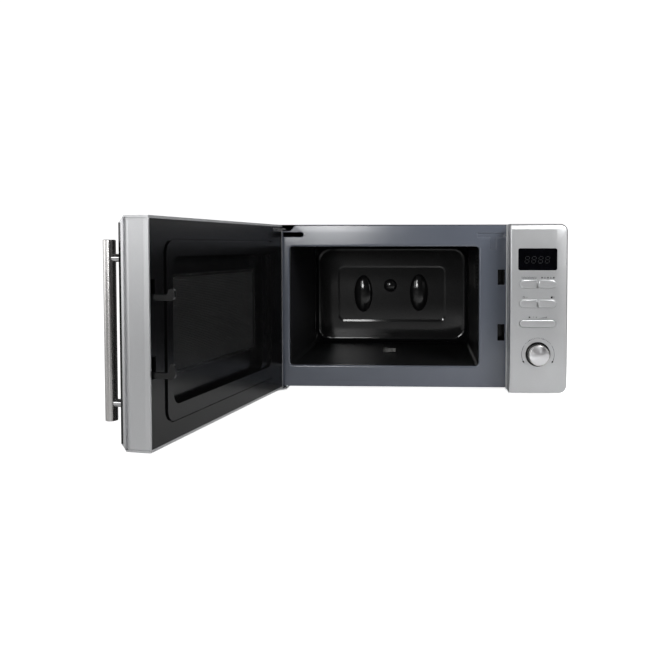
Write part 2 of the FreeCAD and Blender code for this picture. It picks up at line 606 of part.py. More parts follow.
def choke_cover():
    """The black moulding inside the door, with a raised ring and a deep pan round the window."""
    plate = box("choke_plate", ("door_left + door_wall + fit_gap", "door_right - door_wall - fit_gap"),
                ("cover_back", "door_back"),
                ("door_low + door_wall + fit_gap", "door_top - door_wall - fit_gap"))
    ring = rounded_along("choke_ring", box("choke_ring_block", ("ring_left", "ring_right"),
                                           ("door_back - 1", "ring_face"), ("ring_low", "ring_top")),
                         "ring_corner", "y")
    pan = box("choke_pan", ("pan_left - 2", "pan_right + 2"), ("pan_floor - 2", "cover_back"),
              ("pan_low - 2", "pan_top + 2"))
    solid = fuse("choke_solid", [plate, ring, pan])
    hollow = box("pan_hollow", ("pan_left", "pan_right"), ("pan_floor", 1), ("pan_low", "pan_top"))
    step = box("pan_step", ("ring_inner_left", "pan_right"), (-4.6, 1), ("pan_low", "pan_top"))
    tools = [rounded_along("pan_hollow_rounded", hollow, "pan_corner", "y"),
             rounded_along("pan_step_rounded", step, "pan_corner", "y"),
             box("sight_hole", ("screen_left", "screen_right"), ("pan_floor - 3", 0),
                 ("screen_low", "screen_top")),
             box("hook_hole_high", (127.5, 136), (-9, 1), (170.8, 194)),
             box("hook_hole_low", (127.5, 136), (-9, 1), (88.2, 112)),
             box("bracket_relief", (-230, -192), (-9, 1), (251.6, 262))]
    moat = box("choke_moat", ("ring_left - moat", "ring_right + moat"), ("moat_floor", 1),
               ("ring_low - moat", "ring_top + moat"))
    island = box("choke_island", ("ring_left", "ring_right"), ("moat_floor - 1", 2),
                 ("ring_low", "ring_top"))
    tools.append(cut("choke_groove", rounded_along("moat_rounded", moat, "ring_corner + moat", "y"),
                     [rounded_along("island_rounded", island, "ring_corner", "y")]))
    keep("choke_cover", cut("choke", solid, tools), on_door=True)


def choke_panel():
    """The steel screen behind the window and the folded choke walls round it."""
    back = "pan_floor - 2"
    sheet_block = box("screen_sheet", (-186, 106), (f"{back} - sheet", back), (32, 240))
    walls = box("screen_walls", (-186, 106), (back, "cover_back - 1"), (32, 240))
    inside = box("screen_inside", ("-186 + sheet", "106 - sheet"), (back, 0),
                 ("32 + sheet", "240 - sheet"))
    fold = cut("screen_fold", walls, [inside])
    keep("choke_panel", fuse("screen", [sheet_block, fold]), on_door=True)


def inner_window():
    """The clear film that closes the pan's window on the cavity side."""
    body = plate_body("film", "XZ_Plane", "-(pan_floor + 0.5)", 0.5,
                      [(("screen_left - 2", "screen_right + 2"), ("screen_low - 4", "screen_top + 4"))],
                      backwards=True)
    keep("inner_window", body, on_door=True)


def latch():
    """One sliding plate with two hooks, pushed down by a spring."""
    bar = box("latch_bar", (126, 135.4), (-13, -10), (78, 200))
    solids = [bar]
    for base, nose in (("hook_high", 4.2), ("hook_low", 8)):
        solids.append(box("hook_arm", ("hook_left", "hook_right"), (-13, "hook_reach"),
                          (base, f"{base} + 9")))
        solids.append(box("hook_nose", ("hook_left", "hook_right"), (12, "hook_reach"),
                          (base, f"{base} + 9 + {nose}")))
    keep("latch_plate", fuse("latch_solid", solids), on_door=True)
    coils = 6
    pitch = (222 - 200.2) / coils
    helix = Part.makeHelix(pitch, pitch * coils - 1.2, 3.2)
    ring = Part.Wire(Part.Circle(Vector(3.2, 0, 0), Vector(0, 1, 0), 0.5).toShape())
    spring = doc.addObject("Part::Feature", "spring")
    spring.Shape = Part.Wire(helix).makePipeShell([ring], True, True)
    spring.Placement = Placement(Vector(130.7, -12, 200.8), Rotation())
    keep("latch_spring", spring, on_door=True)


def handle():
    """A straight tube on two posts, each held from inside the door by a screw."""
    tube = rod("handle_outer", "z", "handle_radius", "handle_low", "handle_top", ("handle_x", "handle_y"))
    bore = rod("handle_bore", "z", "handle_radius - 1.2", "handle_low + 1.5", "handle_top - 1.5",
               ("handle_x", "handle_y"))
    keep("handle_tube", cut("tube", tube, [bore]), on_door=True)
    screws = []
    for name, z in (("lower", "post_low"), ("upper", "post_high")):
        post = rod(name + "_post", "y", "post_radius", "handle_y + 4", "door_front", ("handle_x", z))
        trim = rod(name + "_trim", "z", "handle_radius", "handle_low", "handle_top",
                   ("handle_x", "handle_y"))
        tap = rod(name + "_tap", "y", 2.1, -55, "door_front + 1", ("handle_x", z))
        keep(f"handle_post_{name}", cut(name + "_post_cut", post, [trim, tap]), on_door=True)
        screws.append(rod("handle_shank", "y", 2, -52, -33, ("handle_x", z)))
        screws.append(rod("handle_head", "y", 4, -33, -30, ("handle_x", z)))
    keep("handle_screws", fuse("handle_screw_pair", screws), on_door=True)


# --- control panel ------------------------------------------------------------------------

def half_pill(name, side, row, proud, depth, shrink):
    """Half of a split pill, rounded at its outer end; side is -1 for the left half."""
    low, high = (("-pill_width / 2", "-pill_gap / 2") if side < 0
                 else ("pill_gap / 2", "pill_width / 2"))
    outer = low if side < 0 else high
    inset = f"({-side}) * pill_height / 2"
    flat_low = f"pill_x + {low}" if side > 0 else f"pill_x + {outer} + pill_height / 2"
    flat_high = f"pill_x + {outer} - pill_height / 2" if side > 0 else f"pill_x + {high}"
    y = (proud, depth)
    block = box(name + "_block", (flat_low, flat_high), y,
                (f"{row} - pill_height / 2 + {shrink}", f"{row} + pill_height / 2 - {shrink}"))
    end = rod(name + "_end", "y", f"pill_height / 2 - {shrink}", y[0], y[1],
              (f"pill_x + {outer} + {inset}", row))
    return [block, end]


def whole_pill(name, row, proud, depth, shrink):
    block = box(name + "_block", ("pill_x - (pill_width - pill_height) / 2",
                                  "pill_x + (pill_width - pill_height) / 2"), (proud, depth),
                (f"{row} - pill_height / 2 + {shrink}", f"{row} + pill_height / 2 - {shrink}"))
    ends = [rod(name + "_end", "y", f"pill_height / 2 - {shrink}", proud, depth,
                (f"pill_x + ({side}) * (pill_width - pill_height) / 2", row)) for side in (-1, 1)]
    return [block] + ends


BUTTONS = [("cook_button", -1, "row_top"), ("defrost_button", 1, "row_top"),
           ("clock_button", -1, "row_middle"), ("stop_button", 1, "row_middle"),
           ("start_button", 0, "row_low")]


def button_x(side):
    return f"pill_x + ({side}) * pill_width / 4"


def buttons():
    """Five push buttons, each with a stem that reaches towards its switch on the board."""
    front = "panel_front - button_proud"
    for name, side, row in BUTTONS:
        span_y = (front, f"{front} + button_depth")
        if side:
            solids = half_pill(name, side, row, *span_y, 0.3)
        else:
            solids = whole_pill(name, row, *span_y, 0.3)
        stem = rod(name + "_stem", "y", 2, f"{front} + button_depth - 1", "stem_end",
                   (button_x(side), row))
        keep(name, fuse(name + "_solid", solids + [stem]))


def panel_bezel():
    """The silver front shell with its window, button wells and the knob's round well."""
    block = box("bezel_block", ("panel_left", "panel_right"), ("panel_front", 0),
                ("panel_low", "panel_top"))
    front, right = number("panel_front"), number("panel_right")
    corners = rounded("bezel_corners", block, "panel_corner", lambda edge:
                      runs_along(edge, "y") and edge.CenterOfMass.x > right - 1)
    outside = rounded("bezel_outside", corners, "panel_edge", lambda edge:
                      edge.BoundBox.YMax < front + 0.01)
    hollow = box("bezel_hollow", ("panel_left + panel_wall", "panel_right - panel_wall"),
                 ("panel_front + panel_wall", 1), ("panel_low + panel_wall", "panel_top - panel_wall"))
    window = box("bezel_window", ("window_left", "window_right"), ("panel_front - 1", -30),
                 ("window_low", "window_top"))
    groove = box("bezel_groove", ("panel_left - 1", "panel_left + groove_depth"),
                 ("groove_front", "groove_back"), ("panel_low - 1", "panel_top + 1"))
    tools = [hollow, groove, rounded_along("bezel_window_rounded", window, "window_corner", "y")]
    cut_y = ("panel_front - 2", "panel_front + 6")
    for name, side, row in BUTTONS:
        if side:
            tools += half_pill(name + "_well", side, row, *cut_y, 0)
        else:
            tools += whole_pill(name + "_well", row, *cut_y, 0)
    for row in ("row_top", "row_middle"):
        tools.append(box("well_middle", ("pill_x - 1", "pill_x + 1"), cut_y,
                         (f"{row} - pill_height / 2", f"{row} + pill_height / 2")))
    ring = rod("well_ring", "y", "well_radius + 1.5", "panel_front + 1", "well_floor + 1.5",
               ("knob_x", "knob_z"))
    shell = fuse("bezel_with_ring", [cut("bezel_shell", outside, tools), ring])
    well = rod("knob_well", "y", "well_radius", "panel_front - 1", "well_floor", ("knob_x", "knob_z"))
    hole = rod("shaft_hole", "y", 4, "panel_front - 1", -20, ("knob_x", "knob_z"))
    keep("panel_bezel", cut("bezel", shell, [well, hole]))


def panel_parts():
    """Display window, display, board with its switches, encoder, shaft and knob."""
    lens = box("lens", ("window_left + 0.1", "window_right - 0.1"),
               ("panel_front + 0.2", "panel_front + 2.4"), ("window_low + 0.1", "window_top - 0.1"))
    keep("display_window", rounded_along("lens_rounded", lens, "window_corner - 0.1", "y"))
    keep("display_module", plate_body("display", "XZ_Plane", "-board_front", 14.3, [
        (("window_left + 2", "window_right - 2"), ("window_low + 2", "window_top - 2"))]))
    keep("control_board", plate_body("board", "XZ_Plane", "-(board_front + 1.6)", 1.6, [
        (("panel_left + 8", "panel_right - 6"), (40, 240))]))
    switches = []
    for name, side, row in BUTTONS:
        x = button_x(side)
        switches.append(box("tact_body", (f"{x} - 3", f"{x} + 3"), ("board_front - 4", "board_front"),
                            (f"{row} - 3", f"{row} + 3")))
        switches.append(rod("tact_plunger", "y", 1.7, "board_front - 5", "board_front - 4", (x, row)))
    keep("tact_switches", fuse("tacts", switches))
    block = box("encoder_block", ("knob_x - 7", "knob_x + 7"), ("board_front - 8", "board_front"),
                ("knob_z - 7", "knob_z + 7"))
    bore = rod("encoder_bore", "y", "shaft_radius + running_gap", "board_front - 10",
               "board_front - 1.5", ("knob_x", "knob_z"))
    keep("encoder", cut("encoder_cut", block, [bore]))
    keep("encoder_shaft", rod("shaft", "y", "shaft_radius", "knob_front + 6", "board_front - 2",
                              ("knob_x", "knob_z")))
    body = new_body("knob_body")
    sketch = new_sketch(body, "knob_profile", "XZ_Plane")
    length = span("knob_front", "well_floor - 0.3")
    sketch_outline(sketch, [("shaft_radius", 0), ("knob_radius + 0.8", 0), ("knob_radius", length),
                            (12.5, length), (12.5, f"{length} - 0.8"), (0, f"{length} - 0.8"),
                            (0, f"{length} - 6"), ("shaft_radius", f"{length} - 6")])
    revolve(body, sketch)
    turned = Rotation(Vector(1, 0, 0), 90)
    body.Placement = Placement(Vector(number("knob_x"), number("well_floor - 0.3"), number("knob_z")),
                               turned)
    keep("timer_knob", body)
    keep("knob_cap", rod("cap", "y", 12.4, "knob_front", "knob_front + 0.8", ("knob_x", "knob_z")))


# --- assembly -----------------------------------------------------------------------------

def set_frames():
    """Moves each finished piece into the part's frame, the door's pieces opened at the hinge."""
    oven = Placement(Vector(number("frame_x"), number("frame_y"), 0), Rotation())
    hinge = Vector(number("hinge_x"), number("hinge_y"), 0)
    opened = Placement(Vector(), Rotation(Vector(0, 0, 1), -number("door_open")), hinge)
    for name, item, on_door in pieces:
        frame = oven.multiply(opened) if on_door else oven
        item.Placement = frame.multiply(item.Placement)


def check_and_write():
    """Stops on any failed object or bad shape, and then writes one STEP file per piece."""
    doc.recompute()
    for item in doc.Objects:
        if "Invalid" in item.State or "Error" in item.State:
            raise RuntimeError(f"{item.Name} failed: {item.State}")
    whole = FreeCAD.BoundBox()
    for name, item, on_door in pieces:
        if item.Shape.isNull() or not item.Shape.isValid() or not item.Shape.Solids:
            raise RuntimeError(f"{name} has no valid solid")
        whole.add(item.Shape.BoundBox)
    for name, item, on_door in pieces:
        item.Shape.exportStep(f"parts/{name}.step")
    print(len(pieces), "pieces, box", whole)


def build():
    outer_cover()
    base_plate()
    rear_panel()
    front_plate()
    feet()
    cover_screws()
    cord_gland()
    cavity()
    turntable()
    lamp()
    waveguide()
    magnetron()
    transformer()
    capacitor()
    cooling_fan()
    small_electrics()
    hinges()
    door_frame()
    door_glass()
    choke_cover()
    choke_panel()
    inner_window()
    latch()
    handle()
    buttons()
    panel_bezel()
    panel_parts()
    doc.recompute()
    set_frames()
    check_and_write()


os.makedirs("parts", exist_ok=True)
build()
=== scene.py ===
import json
import math

import bmesh
import bpy
from mathutils import Matrix, Vector


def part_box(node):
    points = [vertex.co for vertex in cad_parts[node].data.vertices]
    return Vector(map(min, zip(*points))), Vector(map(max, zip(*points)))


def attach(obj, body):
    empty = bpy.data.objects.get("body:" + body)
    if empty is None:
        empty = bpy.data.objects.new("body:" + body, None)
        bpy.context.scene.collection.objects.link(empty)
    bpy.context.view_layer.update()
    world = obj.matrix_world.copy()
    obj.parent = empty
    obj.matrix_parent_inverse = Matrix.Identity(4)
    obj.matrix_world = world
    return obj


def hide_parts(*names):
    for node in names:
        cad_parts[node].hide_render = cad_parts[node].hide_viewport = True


# A countertop microwave oven, seen from the front with its door open.
# Pieces are drawn in millimetres in the oven's own frame (X right, Y backwards from the front plate's
# face, Z up from the table) or in the same frame on the door as if it were closed, and OVEN and DOOR
# carry them into the row's frame in metres.

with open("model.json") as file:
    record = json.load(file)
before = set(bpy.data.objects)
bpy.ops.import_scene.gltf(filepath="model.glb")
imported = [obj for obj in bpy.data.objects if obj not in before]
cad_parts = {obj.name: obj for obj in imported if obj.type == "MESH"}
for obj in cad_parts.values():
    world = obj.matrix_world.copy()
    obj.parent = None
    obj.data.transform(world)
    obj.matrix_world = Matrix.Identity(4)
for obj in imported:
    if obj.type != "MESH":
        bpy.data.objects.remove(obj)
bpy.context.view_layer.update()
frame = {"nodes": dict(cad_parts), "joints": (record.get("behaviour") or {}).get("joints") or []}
scene = bpy.context.scene

MM = 0.001
plate_low, plate_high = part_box("front_plate")
OVEN = (Matrix.Translation(((plate_low.x + plate_high.x) / 2, plate_low.y, 0))
        @ Matrix.Scale(MM, 4))
hinge = next(joint for joint in frame["joints"] if joint["name"] == "door_hinge")
pivot = Vector(hinge["pos_m"])
DOOR = (Matrix.Translation(pivot) @ Matrix.Rotation(math.radians(-hinge["range_deg"][1]), 4, "Z")
        @ Matrix.Translation(-pivot) @ OVEN)

# Places that several pieces share, in millimetres. The panel's face falls back beyond "side",
# below "foot" and above "brow".
CAVITY = {"left": -190.2, "right": 99.6, "low": 45.0, "top": 228.5, "back": 288.0}
PANEL = {"left": 141.4, "right": 227.2, "low": 10.4, "front": -38.9, "side": 199.0, "foot": 57.0,
         "brow": 254.2}
SIDE_FALL, FOOT_FALL, BROW_SLOPE = 3.0, 5.4, 0.62
KNOB = Vector((183.7, 0, 69.3))
PILLS = {"x": 183.0, "width": 54.6, "height": 11.6, "rows": (173.2, 144.2, 114.7)}
WINDOW = {"left": 155.5, "right": 211.3, "low": 193.3, "top": 224.6}
SIGHT = {"left": -147.0, "right": 88.0, "low": 86.0, "top": 193.0}


# --- camera, light and floor -----------------------------------------------------------------

CAMERA_PLACE = Vector((11.53, -1115.67, 228.36))
TURNED_LEFT = 2.33
TURNED_DOWN = 2.14


def add_camera():
    """A viewpoint a little below the oven's top, turned slightly left and down."""
    data = bpy.data.cameras.new("camera")
    data.sensor_width = 36
    data.lens = 39.084
    data.shift_x = -0.0846
    data.shift_y = -0.0914
    data.clip_end = 100
    camera = bpy.data.objects.new("camera", data)
    camera.location = OVEN @ CAMERA_PLACE
    camera.rotation_euler = (math.radians(90 - TURNED_DOWN), 0, math.radians(TURNED_LEFT))
    scene.collection.objects.link(camera)
    scene.camera = camera


def add_light(name, place, target, width, height, power):
    data = bpy.data.lights.new(name, "AREA")
    data.shape = "RECTANGLE"
    data.size = width
    data.size_y = height
    data.energy = power
    light = bpy.data.objects.new(name, data)
    light.location = place
    light.visible_camera = False
    aim = Vector(target) - Vector(place)
    light.rotation_euler = aim.to_track_quat("-Z", "Y").to_euler()
    scene.collection.objects.link(light)


# How bright the room and the paper are as lights, and how the camera sees the paper.
ROOM_LIGHT = 0.02
PAPER_GLOW = 0.02
BACKDROP_GLOW = 0.3
PAPER_LOOK = 0.93
# The paper's colour is dark in front of the first Y, painted shade where the light falls off
# away from the oven, and pale behind the second, and it glows from the third to the fourth.
PAPER_BANDS = (-1.15, -0.6, 1.2, 2.6)
MIDDLE = (0.0, -0.1, 0.15)
PLATE = (-0.1, 0.0, 0.25)
# name, place, aim, width, height (metres) and power (watts)
SOFT_BOXES = (
    ("key_box", (-0.5, -3.37, 0.47), PLATE, 0.45, 0.28, 9.2),
    ("upper_key_box", (-0.6, -3.34, 0.82), PLATE, 0.32, 0.36, 5),
    ("side_left_box", (-2.62, -0.56, 0.62), MIDDLE, 1.8, 1.2, 13.2),
    ("left_box", (-2.1, -1.74, 0.62), MIDDLE, 1.0, 0.75, 5.2),
    ("front_left_box", (-1.25, -2.45, 0.62), MIDDLE, 1.0, 0.75, 6.2),
    ("front_right_box", (1.88, -1.98, 0.62), MIDDLE, 1.0, 0.75, 8.4),
    ("foot_box", (0.4, -0.32, 0.52), (0.26, -0.1, 0.0), 0.3, 0.2, 3.0),
    ("top_box", (-0.1, -0.35, 1.9), MIDDLE, 1.6, 1.5, 5.4),
    ("back_box", (0.3, 2.6, 1.3), MIDDLE, 2.0, 1.0, 3),
)


def add_lights():
    """Soft boxes round a dim studio that looks white past the paper."""
    world = bpy.data.worlds.new("room")
    world.use_nodes = True
    tree = world.node_tree
    background = tree.nodes["Background"]
    background.inputs["Color"].default_value = (1.0, 1.0, 1.0, 1)
    rays = tree.nodes.new("ShaderNodeLightPath")
    strength = tree.nodes.new("ShaderNodeMapRange")
    strength.inputs["To Min"].default_value = ROOM_LIGHT
    strength.inputs["To Max"].default_value = 1.0
    tree.links.new(rays.outputs["Is Camera Ray"], strength.inputs["Value"])
    tree.links.new(strength.outputs["Result"], background.inputs["Strength"])
    scene.world = world
    for box in SOFT_BOXES:
        add_light(*box)
    scene.view_settings.view_transform = "Standard"


def add_floor():
    """A pale floor that curves up into a backdrop."""
    bm = bmesh.new()
    half, near_end, rise_start, bend, top, steps = 7.0, -6.0, 3.2, 1.4, 5.0, 12
    profile = [(near_end, 0.0), (rise_start, 0.0)]
    for step in range(1, steps + 1):
        angle = math.pi / 2 * step / steps
        profile.append((rise_start + bend * math.sin(angle), bend * (1 - math.cos(angle))))
    profile.append((rise_start + bend, top))
    rows = [[bm.verts.new((side * half, y, z)) for side in (-1, 1)] for y, z in profile]
    for near, far in zip(rows, rows[1:]):
        bm.faces.new((near[0], near[1], far[1], far[0]))
    mesh = bpy.data.meshes.new("floor")
    bm.to_mesh(mesh)
    bm.free()
    mesh.shade_smooth()
    mesh.materials.append(white_paper())
    floor = bpy.data.objects.new("floor", mesh)
    scene.collection.objects.link(floor)


# --- materials -------------------------------------------------------------------------------

class Shader:
    """One procedural material: a Principled shader and the nodes that feed it."""

    def __init__(self, name, roughness, metallic, **sockets):
        self.material = bpy.data.materials.new(name)
        self.material.use_nodes = True
        self.tree = self.material.node_tree
        self.shader = self.tree.nodes["Principled BSDF"]
        self.shader.inputs["Roughness"].default_value = roughness
        self.shader.inputs["Metallic"].default_value = metallic
        for socket, value in sockets.items():
            self.shader.inputs[socket.replace("_", " ")].default_value = value
        self.place = self.node("ShaderNodeTexCoord").outputs["Object"]

    def node(self, kind, links=None, **settings):
        made = self.tree.nodes.new(kind)
        for key, value in settings.items():
            setattr(made, key, value)
        for socket, value in (links or {}).items():
            if isinstance(value, bpy.types.NodeSocket):
                self.tree.links.new(value, made.inputs[socket])
            else:
                made.inputs[socket].default_value = value
        return made

    def feed(self, socket, value):
        self.tree.links.new(value, self.shader.inputs[socket])

    def moved(self, scale=(1, 1, 1), location=(0, 0, 0), rotation=(0, 0, 0)):
        return self.node("ShaderNodeMapping", {
            "Vector": self.place, "Scale": scale, "Location": location,
            "Rotation": rotation}).outputs["Vector"]

    def noise(self, scale, detail=3.0, vector=None):
        return self.node("ShaderNodeTexNoise", {
            "Vector": vector or self.place, "Scale": scale, "Detail": detail}).outputs["Fac"]

    def ramp(self, value, stops):
        made = self.node("ShaderNodeValToRGB", {"Fac": value})
        band = made.color_ramp
        while len(band.elements) < len(stops):
            band.elements.new(0.5)
        for element, (position, colour) in zip(band.elements, stops):
            element.position = position
            element.color = (*colour, 1)
        return made.outputs["Color"]

    def shades(self, value, colour, vary):
        """The colour, from a little darker to a little lighter as the value rises."""
        dark = [part * (1 - vary) for part in colour]
        light = [min(1.0, part * (1 + vary)) for part in colour]
        self.feed("Base Color", self.ramp(value, [(0.3, dark), (0.7, light)]))

    def gloss(self, value, low, high):
        self.feed("Roughness", self.node("ShaderNodeMapRange", {
            "Value": value, "To Min": low, "To Max": high}).outputs["Result"])

    def bump(self, value, height):
        """Relief from the value, with its height in millimetres."""
        self.feed("Normal", self.node("ShaderNodeBump", {
            "Height": value, "Strength": 1.0, "Distance": height * MM}).outputs["Normal"])


def painted(name, colour, roughness, grain=0.05, scale=60, texture=0.0, texture_scale=900,
            metallic=0.0, rough_vary=0.06, **sockets):
    """Paint, enamel or moulded plastic: slight clouding, uneven gloss and a fine surface texture."""
    made = Shader(name, roughness, metallic, **sockets)
    made.shades(made.noise(scale), colour, grain)
    made.gloss(made.noise(scale * 2.3, 4), roughness - rough_vary, roughness + rough_vary)
    if texture:
        made.bump(made.noise(texture_scale, 2), texture)
    return made.material


def brushed(name, colour, roughness, stretch, height=0.004):
    """Metal with a straight grain: noise drawn out along the axis whose stretch is small."""
    made = Shader(name, roughness, 1.0)
    grain = made.noise(1.0, 4, made.moved(scale=stretch))
    made.shades(grain, colour, 0.12)
    made.gloss(grain, roughness - 0.07, roughness + 0.09)
    made.bump(grain, height)
    return made.material


def white_paper():
    """Studio paper that looks white to the camera while it lights the object only gently, its colour
    darkened towards the front as painted shade.
    """
    made = Shader("floor_paper", 0.8, 0.0, Emission_Color=(1, 1, 1, 1))
    painted_shade_to, pale_from, glow_from, glow_to = PAPER_BANDS
    place = made.node("ShaderNodeSeparateXYZ", {"Vector": made.place})
    near = made.node("ShaderNodeMapRange", {
        "Value": place.outputs["Y"], "From Min": painted_shade_to, "From Max": pale_from})
    fibres = made.node("ShaderNodeMath", {0: made.noise(40), 1: 0.02}, operation="MULTIPLY")
    shade = made.node("ShaderNodeMath", {0: near.outputs["Result"], 1: fibres.outputs["Value"]},
                      operation="SUBTRACT")
    # Painted shade: the paper's colour runs from dark in front to pale behind, standing in for light
    # falling off away from the oven.
    made.feed("Base Color", made.ramp(shade.outputs["Value"], [
        (0.0, (0.1, 0.1, 0.1)), (1.0, (0.91, 0.91, 0.91))]))
    made.gloss(made.noise(92, 4), 0.74, 0.86)
    behind = made.node("ShaderNodeMapRange", {
        "Value": place.outputs["Y"], "From Min": glow_from, "From Max": glow_to,
        "To Min": PAPER_GLOW, "To Max": BACKDROP_GLOW})
    made.feed("Emission Strength", made.node("ShaderNodeMapRange", {
        "Value": made.node("ShaderNodeLightPath").outputs["Is Camera Ray"],
        "To Min": behind.outputs["Result"], "To Max": PAPER_LOOK}).outputs["Result"])
    return made.material


def zinc():
    made = Shader("zinc_steel", 0.35, 1.0)
    spangle = made.node("ShaderNodeTexVoronoi", {"Vector": made.place, "Scale": 90.0})
    made.shades(spangle.outputs["Distance"], (0.56, 0.58, 0.6), 0.16)
    made.gloss(made.noise(40), 0.28, 0.46)
    made.bump(made.noise(700, 2), 0.003)
    return made.material


def cavity_enamel(name, coat, coat_roughness):
    """Black enamel under a clear coat, which mirrors more where it is thick and smooth."""
    return painted(name, (0.009, 0.0092, 0.01), 0.4, 0.2, 400, 0.002, 160, rough_vary=0.03,
                   Specular_IOR_Level=0.08, Coat_Weight=coat, Coat_Roughness=coat_roughness)


def silver_paint(name, colour):
    """Satin silver paint over plastic, with metal flakes too fine to see one by one."""
    made = Shader(name, 0.36, 0.85)
    flakes = made.node("ShaderNodeTexVoronoi", {"Vector": made.place, "Scale": 2600.0})
    made.shades(flakes.outputs["Distance"], colour, 0.05)
    made.gloss(made.noise(45, 4), 0.34, 0.4)
    made.bump(made.noise(2400, 2), 0.0025)
    return made.material


def spun_metal():
    """Turned aluminium: fine rings round the knob's own axis and a shine that fans out."""
    made = Shader("spun_metal", 0.3, 1.0, Anisotropic=0.86)
    centre = OVEN @ KNOB
    local = made.moved(location=-centre)
    rings = made.node("ShaderNodeTexWave", {
        "Vector": local, "Scale": 420.0, "Distortion": 1.0, "Detail": 2.0, "Detail Scale": 3.0},
        wave_type="RINGS", rings_direction="Y")
    made.shades(rings.outputs["Fac"], (0.6, 0.6, 0.61), 0.05)
    made.gloss(made.noise(300, 2), 0.26, 0.32)
    tangent = made.node("ShaderNodeTangent", direction_type="RADIAL", axis="Y")
    made.feed("Tangent", tangent.outputs["Tangent"])
    return made.material


def black_glass():
    """Front glass printed black, with a see-through patch of fine dots over the oven's window."""
    made = Shader("black_glass", 0.04, 0.0, Coat_Weight=0.3, Coat_Roughness=0.03)
    made.shades(made.noise(25), (0.006, 0.006, 0.007), 0.3)
    made.gloss(made.noise(60, 4), 0.03, 0.06)
    margin, patch_alpha = 6, 0.988
    local = made.node("ShaderNodeSeparateXYZ", {"Vector": made.place})
    along = DOOR.to_3x3().normalized().col[0]
    origin = DOOR @ Vector((0, 0, 0))
    reach = made.node("ShaderNodeVectorMath", {0: made.place, 1: along}, operation="DOT_PRODUCT")
    inside = []
    for value, low, high in (
            (reach.outputs["Value"], along.dot(origin) + MM * (SIGHT["left"] - margin),
             along.dot(origin) + MM * (SIGHT["right"] + margin)),
            (local.outputs["Z"], MM * (SIGHT["low"] - margin), MM * (SIGHT["top"] + margin))):
        for limit, operation in ((low, "GREATER_THAN"), (high, "LESS_THAN")):
            test = made.node("ShaderNodeMath", {0: value, 1: limit}, operation=operation)
            inside.append(test.outputs["Value"])
    product = inside[0]
    for factor in inside[1:]:
        product = made.node("ShaderNodeMath", {0: product, 1: factor},
                            operation="MULTIPLY").outputs["Value"]
    made.feed("Alpha", made.node("ShaderNodeMapRange", {
        "Value": product, "To Min": 1.0, "To Max": patch_alpha}).outputs["Result"])
    return made.material


def clear_film():
    made = Shader("clear_film", 0.05, 0.0, Alpha=0.12)
    made.shades(made.noise(30), (0.04, 0.04, 0.04), 0.2)
    made.gloss(made.noise(80, 3), 0.03, 0.1)
    return made.material


def windings():
    """Enamelled copper wire laid in close turns."""
    made = Shader("copper", 0.3, 1.0, Coat_Weight=0.5)
    turns = made.node("ShaderNodeTexWave", {"Vector": made.place, "Scale": 260.0},
                      wave_type="BANDS", bands_direction="Z")
    made.shades(turns.outputs["Fac"], (0.62, 0.27, 0.1), 0.35)
    made.gloss(made.noise(200), 0.22, 0.4)
    made.bump(turns.outputs["Fac"], 0.25)
    return made.material


def laminations():
    made = Shader("laminations", 0.5, 0.9)
    sheets = made.node("ShaderNodeTexWave", {"Vector": made.place, "Scale": 500.0},
                       wave_type="BANDS", bands_direction="Y")
    made.shades(sheets.outputs["Fac"], (0.2, 0.18, 0.17), 0.3)
    made.gloss(made.noise(120), 0.4, 0.62)
    made.bump(sheets.outputs["Fac"], 0.06)
    return made.material


def circuit_board():
    made = Shader("circuit_board", 0.32, 0.0, Coat_Weight=0.4)
    tracks = made.node("ShaderNodeTexBrick", {
        "Vector": made.moved(rotation=(math.radians(90), 0, 0)), "Scale": 60.0,
        "Color1": (0.02, 0.16, 0.06, 1), "Color2": (0.03, 0.2, 0.08, 1),
        "Mortar": (0.05, 0.3, 0.12, 1), "Mortar Size": 0.03})
    made.feed("Base Color", tracks.outputs["Color"])
    made.gloss(made.noise(150), 0.25, 0.4)
    made.bump(tracks.outputs["Fac"], 0.05)
    return made.material


def mica():
    made = Shader("mica", 0.35, 0.0, Coat_Weight=0.3)
    flakes = made.node("ShaderNodeTexVoronoi", {"Vector": made.place, "Scale": 160.0})
    made.shades(flakes.outputs["Distance"], (0.05, 0.049, 0.047), 0.3)
    made.gloss(made.noise(200), 0.25, 0.5)
    made.bump(flakes.outputs["Distance"], 0.03)
    return made.material


def lamp_glass():
    made = Shader("lamp_glass", 0.03, 0.0, Transmission_Weight=0.9, IOR=1.47)
    made.shades(made.noise(60), (0.95, 0.94, 0.9), 0.04)
    made.gloss(made.noise(90), 0.02, 0.06)
    return made.material


